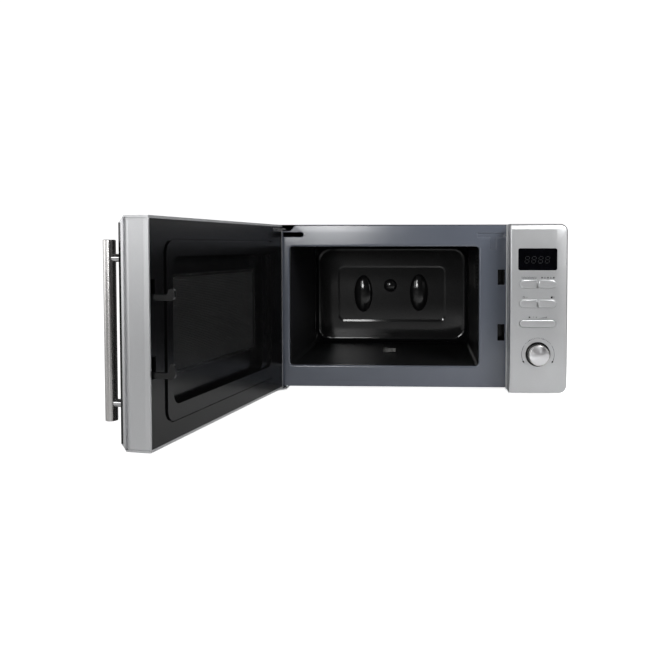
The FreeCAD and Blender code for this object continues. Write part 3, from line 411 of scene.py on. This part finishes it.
def make_materials():
    """One material for each material slot of the record."""
    return {
        "cover_paint": painted("cover_paint", (0.012, 0.012, 0.013), 0.42, 0.1, 50, 0.05, 1500),
        "plate_enamel": painted("plate_enamel", (0.088, 0.098, 0.122), 0.17, 0.03, 30, 0.004, 160,
                                rough_vary=0.03, Coat_Weight=0.25, Coat_Roughness=0.25),
        "cavity_enamel": cavity_enamel("cavity_enamel", 0.2, 0.3),
        "zinc_steel": zinc(),
        "mica": mica(),
        "lamp_glass": lamp_glass(),
        "white_plastic": painted("white_plastic", (0.75, 0.75, 0.72), 0.42, 0.03, 60, 0.01, 1200),
        "aluminium": brushed("aluminium", (0.72, 0.73, 0.74), 0.34, (60, 900, 900)),
        "laminations": laminations(),
        "copper": windings(),
        "black_plastic": painted("black_plastic", (0.0035, 0.0035, 0.0038), 0.2, 0.12, 70, 0.003, 300,
                                 rough_vary=0.03, Specular_IOR_Level=0.36),
        "circuit_board": circuit_board(),
        "chrome_steel": brushed("chrome_steel", (0.72, 0.72, 0.73), 0.16, (400, 400, 60), 0.0015),
        # The panel's copy of the silver paint is darker than the door frame's: lit and shaded copies
        # of one paint, painted light.
        "silver_plastic": silver_paint("silver_plastic", (0.47, 0.475, 0.483)),
        "display_lens": painted("display_lens", (0.0008, 0.0008, 0.0014), 0.1, 0.3, 60,
                                rough_vary=0.02, Specular_IOR_Level=0.3),
        "spun_metal": spun_metal(),
        "black_glass": black_glass(),
        "screen_enamel": painted("screen_enamel", (0.014, 0.0145, 0.015), 0.4, 0.15, 300,
                                 Specular_IOR_Level=0.12),
        "clear_film": clear_film(),
        "latch_plastic": painted("latch_plastic", (0.007, 0.007, 0.0075), 0.24, 0.15, 90, 0.004, 600),
        "handle_steel": brushed("handle_steel", (0.66, 0.645, 0.635), 0.24, (2400, 2400, 14), 0.002),
        "rubber": painted("rubber", (0.018, 0.018, 0.018), 0.72, 0.15, 90, 0.05, 1400),
    }


# --- mesh tools ------------------------------------------------------------------------------

SHARP_FROM = math.radians(35)


def show(name, bm, place, body, slot, material=None):
    """Makes a drawn mesh a piece that rides on a body and takes its finish from a slot."""
    bm.normal_update()
    mesh = bpy.data.meshes.new(name)
    bm.to_mesh(mesh)
    bm.free()
    mesh.transform(place)
    mesh.shade_smooth()
    mesh.set_sharp_from_angle(angle=SHARP_FROM)
    mesh.materials.append(material or MATERIALS[slot])
    piece = bpy.data.objects.new(name, mesh)
    scene.collection.objects.link(piece)
    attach(piece, body)
    return piece


def flat_faces_stay_flat(piece):
    weighted = piece.modifiers.new("normals", "WEIGHTED_NORMAL")
    weighted.weight = 100
    weighted.keep_sharp = True


def with_thickness(piece, thickness):
    solid = piece.modifiers.new("thickness", "SOLIDIFY")
    solid.thickness = thickness * MM
    solid.offset = -1


def with_soft_edges(piece, width, angle=30):
    bevel = piece.modifiers.new("edges", "BEVEL")
    bevel.width = width * MM
    bevel.segments = 3
    bevel.limit_method = "ANGLE"
    bevel.angle_limit = math.radians(angle)
    bevel.miter_outer = "MITER_ARC"


def rounded_outline(corners, steps=6):
    """A closed run of points through corners given as (u, v, radius), in their order."""
    points = []
    for index, (u, v, radius) in enumerate(corners):
        here = Vector((u, v))
        before = (Vector(corners[index - 1][:2]) - here).normalized()
        after = (Vector(corners[(index + 1) % len(corners)][:2]) - here).normalized()
        if not radius:
            points.append(here)
            continue
        half = before.angle(after) / 2
        middle = here + (before + after).normalized() * (radius / math.sin(half))
        start = here + before * (radius / math.tan(half)) - middle
        turn = (math.pi - 2 * half) * (-1 if before.cross(after) > 0 else 1)
        for step in range(steps + 1):
            points.append(middle + Matrix.Rotation(turn * step / steps, 2) @ start)
    return points


def rounded_box(left, right, low, top, radius, steps=6):
    return rounded_outline([(left, low, radius), (right, low, radius), (right, top, radius),
                            (left, top, radius)], steps)


def inset(points, distance):
    """An anticlockwise run of points moved inwards."""
    moved = []
    for index, here in enumerate(points):
        into = (here - points[index - 1]).normalized()
        out = (points[(index + 1) % len(points)] - here).normalized()
        first = Vector((-into.y, into.x))
        second = Vector((-out.y, out.x))
        moved.append(here + (first + second) * (distance / (1 + first.dot(second))))
    return moved


def ring(bm, points, depth):
    """The outline's points as vertices of an upright sheet, depth being how far back it lies."""
    return [bm.verts.new((point.x, depth, point.y)) for point in points]


def bridge(bm, first, second):
    """A band of faces between two rings with the same number of points."""
    for index in range(len(first)):
        after = (index + 1) % len(first)
        bm.faces.new((first[index], first[after], second[after], second[index]))


def face_forwards(bm, spot=None):
    """Turns a sheet's faces so that the one nearest the spot, or else the foremost, looks forwards."""
    bmesh.ops.recalc_face_normals(bm, faces=bm.faces)
    bm.normal_update()
    if spot:
        face = min(bm.faces, key=lambda one: (one.calc_center_median() - spot).length)
    else:
        face = min(bm.faces, key=lambda one: one.calc_center_median().y)
    if face.normal.y > 0:
        bmesh.ops.reverse_faces(bm, faces=bm.faces)


def fill(bm, *rings):
    """A flat face bounded by rings, the inner ones being its holes."""
    edges = []
    for points in rings:
        for index in range(len(points)):
            edges.append(bm.edges.get((points[index - 1], points[index]))
                         or bm.edges.new((points[index - 1], points[index])))
    bmesh.ops.triangle_fill(bm, edges=edges, use_beauty=True)


def quarter(radius, steps):
    """(inset, depth) pairs of an edge that rolls from facing forwards to facing the middle."""
    return [(radius * math.sin(math.pi / 2 * step / steps),
             radius * (1 - math.cos(math.pi / 2 * step / steps))) for step in range(steps + 1)]


def slope(width, depth, steps):
    """(inset, depth) pairs of an S-shaped pressed wall."""
    return [(width * step / steps, depth * (1 - math.cos(math.pi * step / steps)) / 2)
            for step in range(steps + 1)]


def walls(bm, outline, profile, base=0.0):
    """Rings along a profile of (inset, depth) pairs, joined up; returns the first and the last."""
    rings = [ring(bm, inset(outline, distance), base + depth) for distance, depth in profile]
    for first, second in zip(rings, rings[1:]):
        bridge(bm, first, second)
    return rings[0], rings[-1]


def lathe(bm, profile, centre, axis="Y", steps=72):
    """A turned shape from (radius, place along the axis) pairs; radius 0 closes an end."""
    rows = []
    for radius, along in profile:
        row = []
        for step in range(steps if radius else 1):
            angle = 2 * math.pi * step / steps
            across = (radius * math.cos(angle), radius * math.sin(angle))
            if axis == "Y":
                row.append(bm.verts.new((centre[0] + across[0], along, centre[1] + across[1])))
            else:
                row.append(bm.verts.new((centre[0] + across[0], centre[1] + across[1], along)))
        rows.append(row)
    for first, second in zip(rows, rows[1:]):
        for step in range(steps):
            after = (step + 1) % steps
            corners = [first[step % len(first)], first[after % len(first)],
                       second[after % len(second)], second[step % len(second)]]
            bm.faces.new([corner for place, corner in enumerate(corners)
                          if corner not in corners[:place]])
    bmesh.ops.recalc_face_normals(bm, faces=bm.faces)


# --- CAD pieces with finished edges ----------------------------------------------------------

def node_mesh(node, into):
    """A CAD node's mesh in millimetres, its flat areas joined into single faces."""
    bm = bmesh.new()
    bm.from_mesh(frame["nodes"][node].data)
    bm.transform(into.inverted())
    bmesh.ops.remove_doubles(bm, verts=bm.verts, dist=0.002)
    bmesh.ops.dissolve_limit(bm, angle_limit=math.radians(0.6), verts=bm.verts, edges=bm.edges)
    return bm


def finished(node, body, slot, width, place=OVEN, bend=None, material=None):
    """A copy of a CAD node with softened edges, shown in the node's stead."""
    bm = node_mesh(node, place)
    if bend:
        bend(bm)
    piece = show(node + "_finished", bm, place, body, slot, material=material)
    with_soft_edges(piece, width)
    flat_faces_stay_flat(piece)
    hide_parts(node)
    return piece


def slice_up(bm, axis, places):
    """Cuts a mesh along planes square to an axis."""
    normal = Vector([float(letter == axis) for letter in "xyz"])
    for place in places:
        geometry = bm.verts[:] + bm.edges[:] + bm.faces[:]
        bmesh.ops.bisect_plane(bm, geom=geometry, plane_co=normal * place, plane_no=normal)


def panel_drop(x, z):
    """How far the panel's face falls back towards its right side, its foot and its top edge."""
    side = max(0.0, (x - PANEL["side"]) / (PANEL["right"] - PANEL["side"]))
    foot = max(0.0, (PANEL["foot"] - z) / (PANEL["foot"] - PANEL["low"]))
    brow = max(0.0, z - PANEL["brow"])
    return SIDE_FALL * side ** 2 + FOOT_FALL * foot ** 2 + BROW_SLOPE * brow


def panel_bend(bm):
    """Steps the panel's left flank, widens its window and lets its face fall back in strips."""
    slice_up(bm, "x", range(int(PANEL["side"]), 226, 2))
    slice_up(bm, "z", (*range(12, 58, 3), PANEL["brow"]))
    ledge, half_ledge, flank, flank_shift = -4.25, 0.25, PANEL["left"] + 5, 0.6
    slice_up(bm, "y", (ledge + half_ledge, ledge - half_ledge))
    margin, wider, taller, brow_stretch, face_depth = 4.1, 1.4, 1.3, 0.18, 8
    middle = ((WINDOW["left"] + WINDOW["right"]) / 2, (WINDOW["low"] + WINDOW["top"]) / 2)
    for vertex in bm.verts:
        place = vertex.co
        if place.x < flank:
            place.x += flank_shift if place.y < ledge else -flank_shift
        if (WINDOW["left"] - margin < place.x < WINDOW["right"] + margin
                and WINDOW["low"] - margin < place.z < WINDOW["top"] + margin
                and place.y < PANEL["front"] + 10):
            place.x -= wider if place.x < middle[0] else 0.0
            place.z += taller if place.z > middle[1] else 0.0
        if place.y < PANEL["front"] + face_depth:
            place.y += panel_drop(place.x, place.z)
        place.z += brow_stretch * max(0.0, place.z - PANEL["brow"])


def door_bend(bm):
    """Slopes the floor of the groove down the door's free side and sinks a line near each end."""
    groove_floor, groove_front, slope_depth = 138.7, -32.5, 1.5
    lines, line_half, rim_half, line_depth = (14.1, 257.8), 0.7, 0.9, 1.6
    slice_up(bm, "z", [z + side * half for z in lines for side in (-1, 1)
                       for half in (line_half, rim_half)])
    for vertex in bm.verts:
        place = vertex.co
        in_line = min(abs(place.z - z) for z in lines) < (line_half + rim_half) / 2
        if abs(place.x - groove_floor) < 0.05 and abs(place.y - groove_front) < 0.5:
            place.x -= slope_depth
        elif place.x > groove_floor - 0.2 and place.y > groove_front + 0.5 and in_line:
            place.x -= line_depth


def finish_cad_pieces():
    """Softened copies of the pieces whose edges show."""
    for node, slot, width in (
            ("base_plate", "zinc_steel", 0.2), ("cord_gland", "black_plastic", 0.5),
            ("foot_front_left", "rubber", 0.8), ("foot_front_right", "rubber", 0.8),
            ("foot_rear_left", "rubber", 0.8), ("foot_rear_right", "rubber", 0.8),
            ("cover_screws", "chrome_steel", 0.5), ("upper_hinge_bracket", "chrome_steel", 0.3),
            ("lower_hinge_bracket", "chrome_steel", 0.3), ("fan_shroud", "black_plastic", 0.6),
            ("hv_capacitor", "aluminium", 0.6), ("interlock_bracket", "black_plastic", 0.5)):
        finished(node, "cabinet", slot, width)
    # The door frame takes a lighter copy of the panel's silver paint: lit and shaded copies of one
    # paint, painted light.
    finished("door_frame", "door", "silver_plastic", 0.4, DOOR, door_bend,
             silver_paint("silver_door_lit_copy", (0.6, 0.605, 0.615)))
    for node, slot, width in (
            ("door_glass", "black_glass", 0.3),
            ("choke_cover", "black_plastic", 0.9), ("handle_screws", "chrome_steel", 0.4)):
        finished(node, "door", slot, width, place=DOOR)
    finished("turntable_coupling", "turntable", "white_plastic", 0.7,
             material=painted("grey_plastic", (0.13, 0.13, 0.125), 0.4, 0.05, 90))
    finished("panel_bezel", "cabinet", "silver_plastic", 0.45, bend=panel_bend)
    finished("display_window", "cabinet", "display_lens", 0.2, bend=panel_bend)


# --- front plate and cavity ------------------------------------------------------------------

def front_plate():
    """The enamelled face: a folded rim, the opening's rolled lip, latch slots and pressed marks."""
    bm = bmesh.new()
    outside = rounded_outline([
        (-225, 12, 1), (225, 12, 1), (225, 261, 4), (-183.5, 261, 5), (-190.5, 252.6, 3),
        (-225, 252.6, 1)])
    rims = [walls(bm, outside, [(0.0, 1.4), (0.0, 0.8), (0.25, 0.25), (0.8, 0.0)])[1]]
    lip, left_gap, bead, bead_height, roll_depth, lip_depth = 4.4, 1.8, 1.3, 0.13, 1.6, 6.0
    opening = rounded_box(CAVITY["left"] - lip - left_gap, CAVITY["right"] + lip,
                          CAVITY["low"] - lip, CAVITY["top"] + lip, 9.4, 8)
    profile = [(0.0, 0.0), (0.15, -0.005), (1.1, -0.12), (bead, -bead_height)]
    profile += [(bead + (lip - bead) * along, roll_depth * depth - bead_height)
                for along, depth in quarter(1.0, 10)[1:]]
    profile.append((lip, lip_depth))
    rims.append(walls(bm, opening, profile)[0])
    slot_left, slot_right, edge = 127.9, 139.6, 0.6
    for low, top in ((170, 193.2), (84.4, 109.7)):
        slot = rounded_box(slot_left, slot_right, low - edge, top + edge, 2 * edge, 4)
        rims.append(walls(bm, slot, quarter(edge, 3) + [(edge, 2.4)])[0])
    mark = rounded_outline([
        (116.2, 223.4, 1.7), (126.2, 223.4, 1.7), (126.2, 241.4, 1.2), (139, 241.4, 1.7),
        (139, 249.6, 1.7), (96, 249.6, 1.7), (96, 241.4, 1.7), (116.2, 241.4, 1.2)], 4)
    first, last = walls(bm, mark, slope(1.5, 1.3, 5))
    rims.append(first)
    fill(bm, last)
    hinge_slot = rounded_outline([(-203, 242.4, 1.5), (-169.4, 242.4, 4.1), (-169.4, 251, 4.1),
                                  (-203, 251, 1.5)])
    rims.append(walls(bm, hinge_slot, quarter(0.9, 4) + [(0.9, 3.0)])[0])
    fill(bm, *rims)
    face_forwards(bm)
    piece = show("front_plate_pressed", bm, OVEN, "cabinet", "plate_enamel")
    with_thickness(piece, 0.7)
    flat_faces_stay_flat(piece)
    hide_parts("front_plate")


def dome(bm, centre, size, height, base):
    """A pressed bump, half an ellipsoid raised towards the front; returns its rim."""
    steps, levels = 48, 14
    rows = []
    for level in range(levels):
        lift = math.pi / 2 * level / levels
        rows.append([bm.verts.new((centre[0] + size[0] * math.cos(lift) * math.cos(angle),
                                   base - height * math.sin(lift),
                                   centre[1] + size[1] * math.cos(lift) * math.sin(angle)))
                     for angle in (2 * math.pi * step / steps for step in range(steps))])
    for first, second in zip(rows, rows[1:]):
        bridge(bm, first, second)
    top = bm.verts.new((centre[0], base - height, centre[1]))
    for step in range(steps):
        bm.faces.new((rows[-1][step], rows[-1][(step + 1) % steps], top))
    return rows[0]


def cavity_back():
    """The stamped back: round-cornered and filleted, with a pressed panel and three bumps."""
    bm = bmesh.new()
    left, right, low, top = (CAVITY[side] for side in ("left", "right", "low", "top"))
    back = CAVITY["back"]

    def frame_ring(distance, radius, depth):
        return ring(bm, rounded_box(left + distance, right - distance, low + distance,
                                    top - distance, radius, 10), depth)

    gap, corner, fillet, fillet_start, steps = 0.4, 26, 6.5, back - 7.6, 6
    rings = [frame_ring(0.15, 6, back - 30), frame_ring(0.2, 14, back - 22),
             frame_ring(0.3, 22, back - 14), frame_ring(gap, corner, fillet_start)]
    for step in range(1, steps + 1):
        angle = math.pi / 2 * step / steps
        turned = 1 - math.cos(angle)
        rings.append(frame_ring(gap + fillet * turned, corner - 3 * turned,
                                fillet_start + fillet * math.sin(angle)))
    rings.append(frame_ring(8.0, 22, back - 1.08))
    for first, second in zip(rings, rings[1:]):
        bridge(bm, first, second)
    flat, sunk = back - 0.6, 0.45
    outline = rounded_box(-150.5, 60.0, 82.5, 192.5, 14, 10)
    first, last = walls(bm, outline, [(0, 0), (0.8, 0), (1.3, 0.03), (4.3, 0.42), (4.8, sunk),
                                      (5.6, sunk)], flat)
    bridge(bm, rings[-1], first)
    base = flat + sunk
    tall, small = (17.5, 35.5), (12.5, 12.5)
    bumps = [dome(bm, (-100.3, 137.6), tall, 5.0, base), dome(bm, (-48.0, 153.0), small, 4.0, base),
             dome(bm, (7.0, 139.6), tall, 5.0, base)]
    fill(bm, last, *bumps)
    face_forwards(bm, Vector((-48, base, 153)))
    piece = show("cavity_back_stamped", bm, OVEN, "cabinet", "cavity_enamel",
                 cavity_enamel("glossy_enamel", 0.8, 0.07))
    with_thickness(piece, 0.8)
    flat_faces_stay_flat(piece)
    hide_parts("cavity_back")


# --- door ------------------------------------------------------------------------------------

def perforated_screen():
    """The steel screen with its field of round holes, its plain border and folded walls."""
    bm = bmesh.new()
    pitch, hole, back, field_margin, border_margin, fold = 2.4, 0.8, -17.0, 3, 2.2, 9
    across = pitch / math.sqrt(3)
    columns = int((SIGHT["right"] - SIGHT["left"] + 2 * field_margin) / pitch)
    rows = int((SIGHT["top"] - SIGHT["low"] + 2 * field_margin) / (1.5 * across))
    for row in range(rows):
        for column in range(columns):
            u = SIGHT["left"] - field_margin + pitch * (column + 0.5 * (row % 2))
            v = SIGHT["low"] - field_margin + 1.5 * across * row
            rims = []
            for radius in (across, hole):
                rims.append([bm.verts.new((u + radius * math.sin(math.pi / 3 * step), back,
                                           v + radius * math.cos(math.pi / 3 * step)))
                             for step in range(6)])
            bridge(bm, *rims)
    bmesh.ops.remove_doubles(bm, verts=bm.verts, dist=0.01)
    edge = rounded_box(-186, 106, 32, 240, 4)
    front = back - 0.12
    border = ring(bm, edge, front)
    window = ring(bm, rounded_box(SIGHT["left"] - border_margin, SIGHT["right"] + border_margin,
                                  SIGHT["low"] - border_margin, SIGHT["top"] + border_margin, 4),
                  front)
    bridge(bm, border, window)
    bridge(bm, ring(bm, edge, back + fold), border)
    bmesh.ops.recalc_face_normals(bm, faces=bm.faces)
    piece = show("perforated_screen", bm, DOOR, "door", "screen_enamel")
    with_thickness(piece, 0.4)
    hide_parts("choke_panel")


def latch_hooks():
    """The sliding bar with its two hooks, whose noses are eased for the strike."""
    bm = bmesh.new()
    bar_left, bar_right, hook_left, hook_right, arm_back = 126.0, 135.4, 129.4, 133.9, -12.9
    outlines = [[(-13, 78), (-10, 78), (-10, 200), (-13, 200)]]
    for base, nose in ((171.5, 4.2), (89.0, 8.0)):
        top = base + 9
        outlines.append([(arm_back, base + 0.1), (14, base + 0.1), (16.5, base), (19.5, base),
                         (21.8, base + 1.4), (23.1, base + 4.0), (23.1, top + nose * 0.45),
                         (21.9, top + nose * 0.85), (20.0, top + nose), (17.4, top + nose * 0.9),
                         (16.2, top + nose * 0.5), (15.4, top - 1.2), (12.5, top - 2.2),
                         (arm_back, top - 2.2)])
    for count, outline in enumerate(outlines):
        left, right = (hook_left, hook_right) if count else (bar_left, bar_right)
        sides = [[bm.verts.new((x, y, z)) for y, z in outline] for x in (left, right)]
        bridge(bm, *sides)
        for side in sides:
            bm.faces.new(side)
    bmesh.ops.recalc_face_normals(bm, faces=bm.faces)
    piece = show("latch_hooks", bm, DOOR, "latch", "latch_plastic")
    with_soft_edges(piece, 0.8, 25)
    flat_faces_stay_flat(piece)
    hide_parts("latch_plate")


def handle():
    """The brushed tube with eased ends."""
    low, top, radius, ease, steps = 36.0, 236.0, 6.8, 0.9, 4
    profile = [(0, low), (radius - ease, low)]
    for step in range(1, steps + 1):
        angle = math.pi / 2 * step / steps
        profile.append((radius - ease + ease * math.sin(angle), low + ease * (1 - math.cos(angle))))
    profile += [(share, low + top - along) for share, along in reversed(profile)]
    bm = bmesh.new()
    lathe(bm, profile, (111.5, -68.0), "Z")
    piece = show("handle_tube_brushed", bm, DOOR, "door", "handle_steel")
    flat_faces_stay_flat(piece)
    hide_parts("handle_tube")


# --- control panel ---------------------------------------------------------------------------

def pill_buttons():
    """The five buttons: half or whole pills with pillowed edges."""
    play, half_gap, pillow, proud, start, skirt, steps = 0.45, 1.0, 1.6, 1.15, 0.2, 3.0, 8
    half_width, half_height = PILLS["width"] / 2 - play, PILLS["height"] / 2 - play
    profile = [(0.0, skirt), (0.0, start)]
    for step in range(1, steps + 1):
        angle = math.pi / 2 * step / steps
        profile.append((pillow * (1 - math.cos(angle)), start - proud * math.sin(angle)))
    for name, side, row in (("cook", -1, 0), ("defrost", 1, 0), ("clock", -1, 1), ("stop", 1, 1),
                            ("start", 0, 2)):
        left, right = PILLS["x"] - half_width, PILLS["x"] + half_width
        left_corner = right_corner = half_height - 0.1
        if side < 0:
            right, right_corner = PILLS["x"] - half_gap, 0.5
        if side > 0:
            left, left_corner = PILLS["x"] + half_gap, 0.5
        low, top = PILLS["rows"][row] - half_height, PILLS["rows"][row] + half_height
        bm = bmesh.new()
        outline = rounded_outline([(left, low, left_corner), (right, low, right_corner),
                                   (right, top, right_corner), (left, top, left_corner)], 10)
        rims = walls(bm, outline, profile, PANEL["front"])
        fill(bm, rims[1])
        for vertex in bm.verts:
            vertex.co.y += panel_drop(vertex.co.x, vertex.co.z)
        face_forwards(bm)
        piece = show(f"{name}_button_pillowed", bm, OVEN, f"{name}_button", "silver_plastic")
        with_thickness(piece, 0.8)
        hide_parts(f"{name}_button")


def knob():
    """The turned knob with its thin rim, the spun dome set into its face and a black ring round it,
    painted shade in its well.
    """
    x, z = KNOB.x, KNOB.z
    face, skirt, rim, rim_radius, ease, steps = -54.9, -35.3, 14.1, 14.9, 0.8, 5
    shoulder = face + 0.9
    profile = [(3.0, skirt), (15.0, skirt), (15.3, skirt - 0.9), (rim_radius, shoulder)]
    for step in range(1, steps + 1):
        angle = math.pi / 2 * step / steps
        profile.append((rim + ease * math.cos(angle), shoulder - ease * math.sin(angle)))
    profile += [(14.0, face + 0.1), (13.95, face + 1.4), (3.0, face + 2.9)]
    bm = bmesh.new()
    lathe(bm, profile, (x, z), steps=96)
    piece = show("timer_knob_turned", bm, OVEN, "knob", "silver_plastic", MATERIALS["handle_steel"])
    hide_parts("timer_knob")
    bm = bmesh.new()
    lathe(bm, [(0, face + 0.1), (0.8, face + 0.13), (13.4, face + 1.0), (13.9, face + 1.1),
               (13.9, face + 1.3), (0, face + 2.6)], (x, z), steps=96)
    disc = show("knob_cap_spun", bm, OVEN, "knob", "spun_metal")
    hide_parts("knob_cap")
    # A black ring in the well round the knob: painted shade, standing in for the shadow on the well's
    # wall.
    inner, outer, foot, front = 15.6, 18.2, -35.2, -39.0
    bm = bmesh.new()
    lathe(bm, [(inner, foot), (16.6, foot), (16.6, front), (outer, front), (outer, front - 0.15),
               (15.9, front - 0.2), (inner, front + 0.1), (inner, foot)], (x, z), steps=96)
    bmesh.ops.remove_doubles(bm, verts=bm.verts, dist=0.001)
    show("knob_well_shade_ring", bm, OVEN, "cabinet", "black_plastic")


def flat_faces(shapes, lift):
    """Faces that follow the panel's front at a small height; shapes are lists of (x, z) points."""
    bm = bmesh.new()
    for shape in shapes:
        face = bm.faces.new([bm.verts.new((x, PANEL["front"] - lift + panel_drop(x, z), z))
                             for x, z in shape])
        face.normal_update()
        if face.normal.y > 0:
            face.normal_flip()
    return bm


def printed(name, shapes):
    """Flat printed marks on the panel's face."""
    show(name, flat_faces(shapes, 0.06), OVEN, "cabinet", "black_plastic")


def arc_band(centre, radius, width, start, end, steps):
    """Quads along an arc; angles in degrees, anticlockwise from the right."""
    shapes = []
    for step in range(steps):
        angles = [math.radians(start + (end - start) * (step + part) / steps) for part in (0, 1)]
        shapes.append([polar(centre, radius + side, angle)
                       for angle, side in ((angles[0], -width / 2), (angles[0], width / 2),
                                           (angles[1], width / 2), (angles[1], -width / 2))])
    return shapes


def disc_shape(x, z, radius):
    return [polar((x, z), radius, 2 * math.pi * step / 12) for step in range(12)]


def bar(x, z, width, height, lean=0.0):
    return [(x - width / 2, z - height / 2), (x + width / 2, z - height / 2),
            (x + width / 2 + lean, z + height / 2), (x - width / 2 + lean, z + height / 2)]


def polar(centre, radius, angle):
    return (centre[0] + radius * math.cos(angle), centre[1] + radius * math.sin(angle))


def knob_scale():
    """Two arcs with arrowheads round the knob, and graduation ticks between two dots on top."""
    centre = (KNOB.x + 0.1, KNOB.z - 0.1)
    radius, line, arrow, arrow_half = 24.0, 0.5, 3.6, 1.5
    shapes = arc_band(centre, radius, line, -24, 33, 16)
    shapes += arc_band(centre, radius, line, 147, 204, 16)
    for side in (-1, 1):
        angle = math.radians(-28 if side > 0 else 208)
        tip = Vector(polar(centre, radius, angle - side * 0.09))
        outward = Vector((math.cos(angle), math.sin(angle)))
        foot = tip + Vector((-outward.y, outward.x)) * side * arrow
        shapes.append([tuple(tip), tuple(foot + outward * arrow_half),
                       tuple(foot - outward * arrow_half)])
    for degrees in range(42, 139, 6):
        angle = math.radians(degrees)
        if degrees in (72, 120):
            shapes.append(disc_shape(*polar(centre, radius, angle), 0.85))
            continue
        half_length, half_turn = (1.3 if degrees % 18 == 0 else 0.85), 0.01
        shapes.append([polar(centre, radius + out, angle + turn)
                       for out, turn in ((-half_length, -half_turn), (-half_length, half_turn),
                                         (half_length, half_turn), (half_length, -half_turn))])
    printed("knob_scale", shapes)


def wave_marks(x, z):
    """Two long wavy lines: heating."""
    shapes = []
    steps, length, rise, wave, half = 24, 22, 1.5, 0.45, 0.24
    for line in range(2):
        for step in range(steps):
            (near, near_z), (far, far_z) = (
                (x - length / 2 + length * place / steps,
                 z - 0.8 + rise * line + wave * math.sin(2 * math.pi * place / 4))
                for place in (step, step + 1))
            shapes.append([(near, near_z - half), (far, far_z - half), (far, far_z + half),
                           (near, near_z + half)])
    return shapes


def snow_marks(x, z):
    """Three six-armed flakes with two drops between them: defrosting."""
    shapes = []
    arm_length, arm_half, flake_pitch = 1.7, 0.22, 8.6
    for arm in range(9):
        angle = math.radians(60 * arm + 30)
        along = Vector((math.cos(angle), math.sin(angle))) * arm_length
        across = Vector((-math.sin(angle), math.cos(angle))) * arm_half
        centre = Vector((x + (arm // 3 - 1) * flake_pitch, z))
        shapes.append([tuple(centre - along - across), tuple(centre + along - across),
                       tuple(centre + along + across), tuple(centre - along + across)])
    for side in (-flake_pitch / 2, flake_pitch / 2):
        shapes.append(disc_shape(x + side, z - 0.5, 0.75))
        shapes.append([(x + side - 0.6, z - 0.1), (x + side + 0.6, z - 0.1), (x + side, z + 1.5)])
    return shapes


def clock_marks(x, z):
    shapes = arc_band((x, z), 1.55, 0.36, 0, 360, 20)
    shapes.append(bar(x, z + 0.55, 0.32, 1.1))
    shapes.append(bar(x + 0.45, z, 0.9, 0.32))
    return shapes


def labels():
    """Small pictograms over the buttons: heat, defrost, clock, stop and start."""
    row = [level + PILLS["height"] / 2 + 3.6 for level in PILLS["rows"]]
    left, right = PILLS["x"] - 13.0, PILLS["x"] + 14.6
    shapes = wave_marks(left, row[0]) + snow_marks(right, row[0])
    shapes += clock_marks(162.6, row[1])
    shapes.append(bar(203.4, row[1], 2.7, 2.7))
    shapes += [bar(167.2, row[1], 0.4, 2.4), bar(206.6, row[1], 0.5, 2.4)]
    shapes.append([(170.0, row[2] - 1.6), (172.8, row[2]), (170.0, row[2] + 1.6)])
    shapes.append(bar(176.2, row[2], 0.3, 3.0, 0.9))
    shapes += [bar(181.2, row[2], 2.6, 0.42), bar(181.2, row[2], 0.42, 2.6)]
    shapes += [bar(186.4 + 1.9 * step, row[2] - 1.3 + 0.22 * step, 0.7, 0.6 + 0.44 * step)
               for step in range(6)]
    printed("button_pictograms", shapes)


def display_digits():
    """Four unlit seven-segment digits and a colon, just visible in the dark window."""
    first, pitch, low, height, width, half, lean = 163.6, 9.9, 204.2, 9.6, 5.7, 0.5, 0.16
    gap, taper = 0.7, 0.5
    end = gap + taper
    shapes = []
    for x in [first + pitch * index for index in range(4)]:
        for level in (0.0, 0.5, 1.0):
            z = low + height * level
            left = x + lean * height * level
            shapes.append([(left + gap, z), (left + end, z - half), (left + width - end, z - half),
                           (left + width - gap, z), (left + width - end, z + half),
                           (left + end, z + half)])
        for side in (0, 1):
            for start in (low + 0.6, low + height / 2 + 0.6):
                stop = start + height / 2 - 1.2
                shapes.append([(x + width * side + lean * (z - low) + out * half, z)
                               for z, out in ((start, 0), (start + 0.6, 1), (stop - 0.6, 1),
                                              (stop, 0), (stop - 0.6, -1), (start + 0.6, -1))])
    for z in (206.6, 211.2):
        shapes.append(disc_shape(183.2 + lean * (z - low), z, 0.6))
    dim = painted("unlit_segment", (0.0035, 0.0038, 0.0044), 0.3, 0.1)
    show("display_segments", flat_faces(shapes, -0.16), OVEN, "cabinet", "display_lens", dim)


# --- assembly --------------------------------------------------------------------------------

def dress_remaining_nodes():
    """Every CAD node that still shows takes its slot's procedural material."""
    for node in frame["nodes"].values():
        for slot in node.material_slots:
            slot.material = MATERIALS[slot.material.name.split(".")[0]]


add_camera()
add_lights()
add_floor()
MATERIALS = make_materials()
finish_cad_pieces()
front_plate()
cavity_back()
perforated_screen()
latch_hooks()
handle()
pill_buttons()
knob()
knob_scale()
labels()
display_digits()
dress_remaining_nodes()
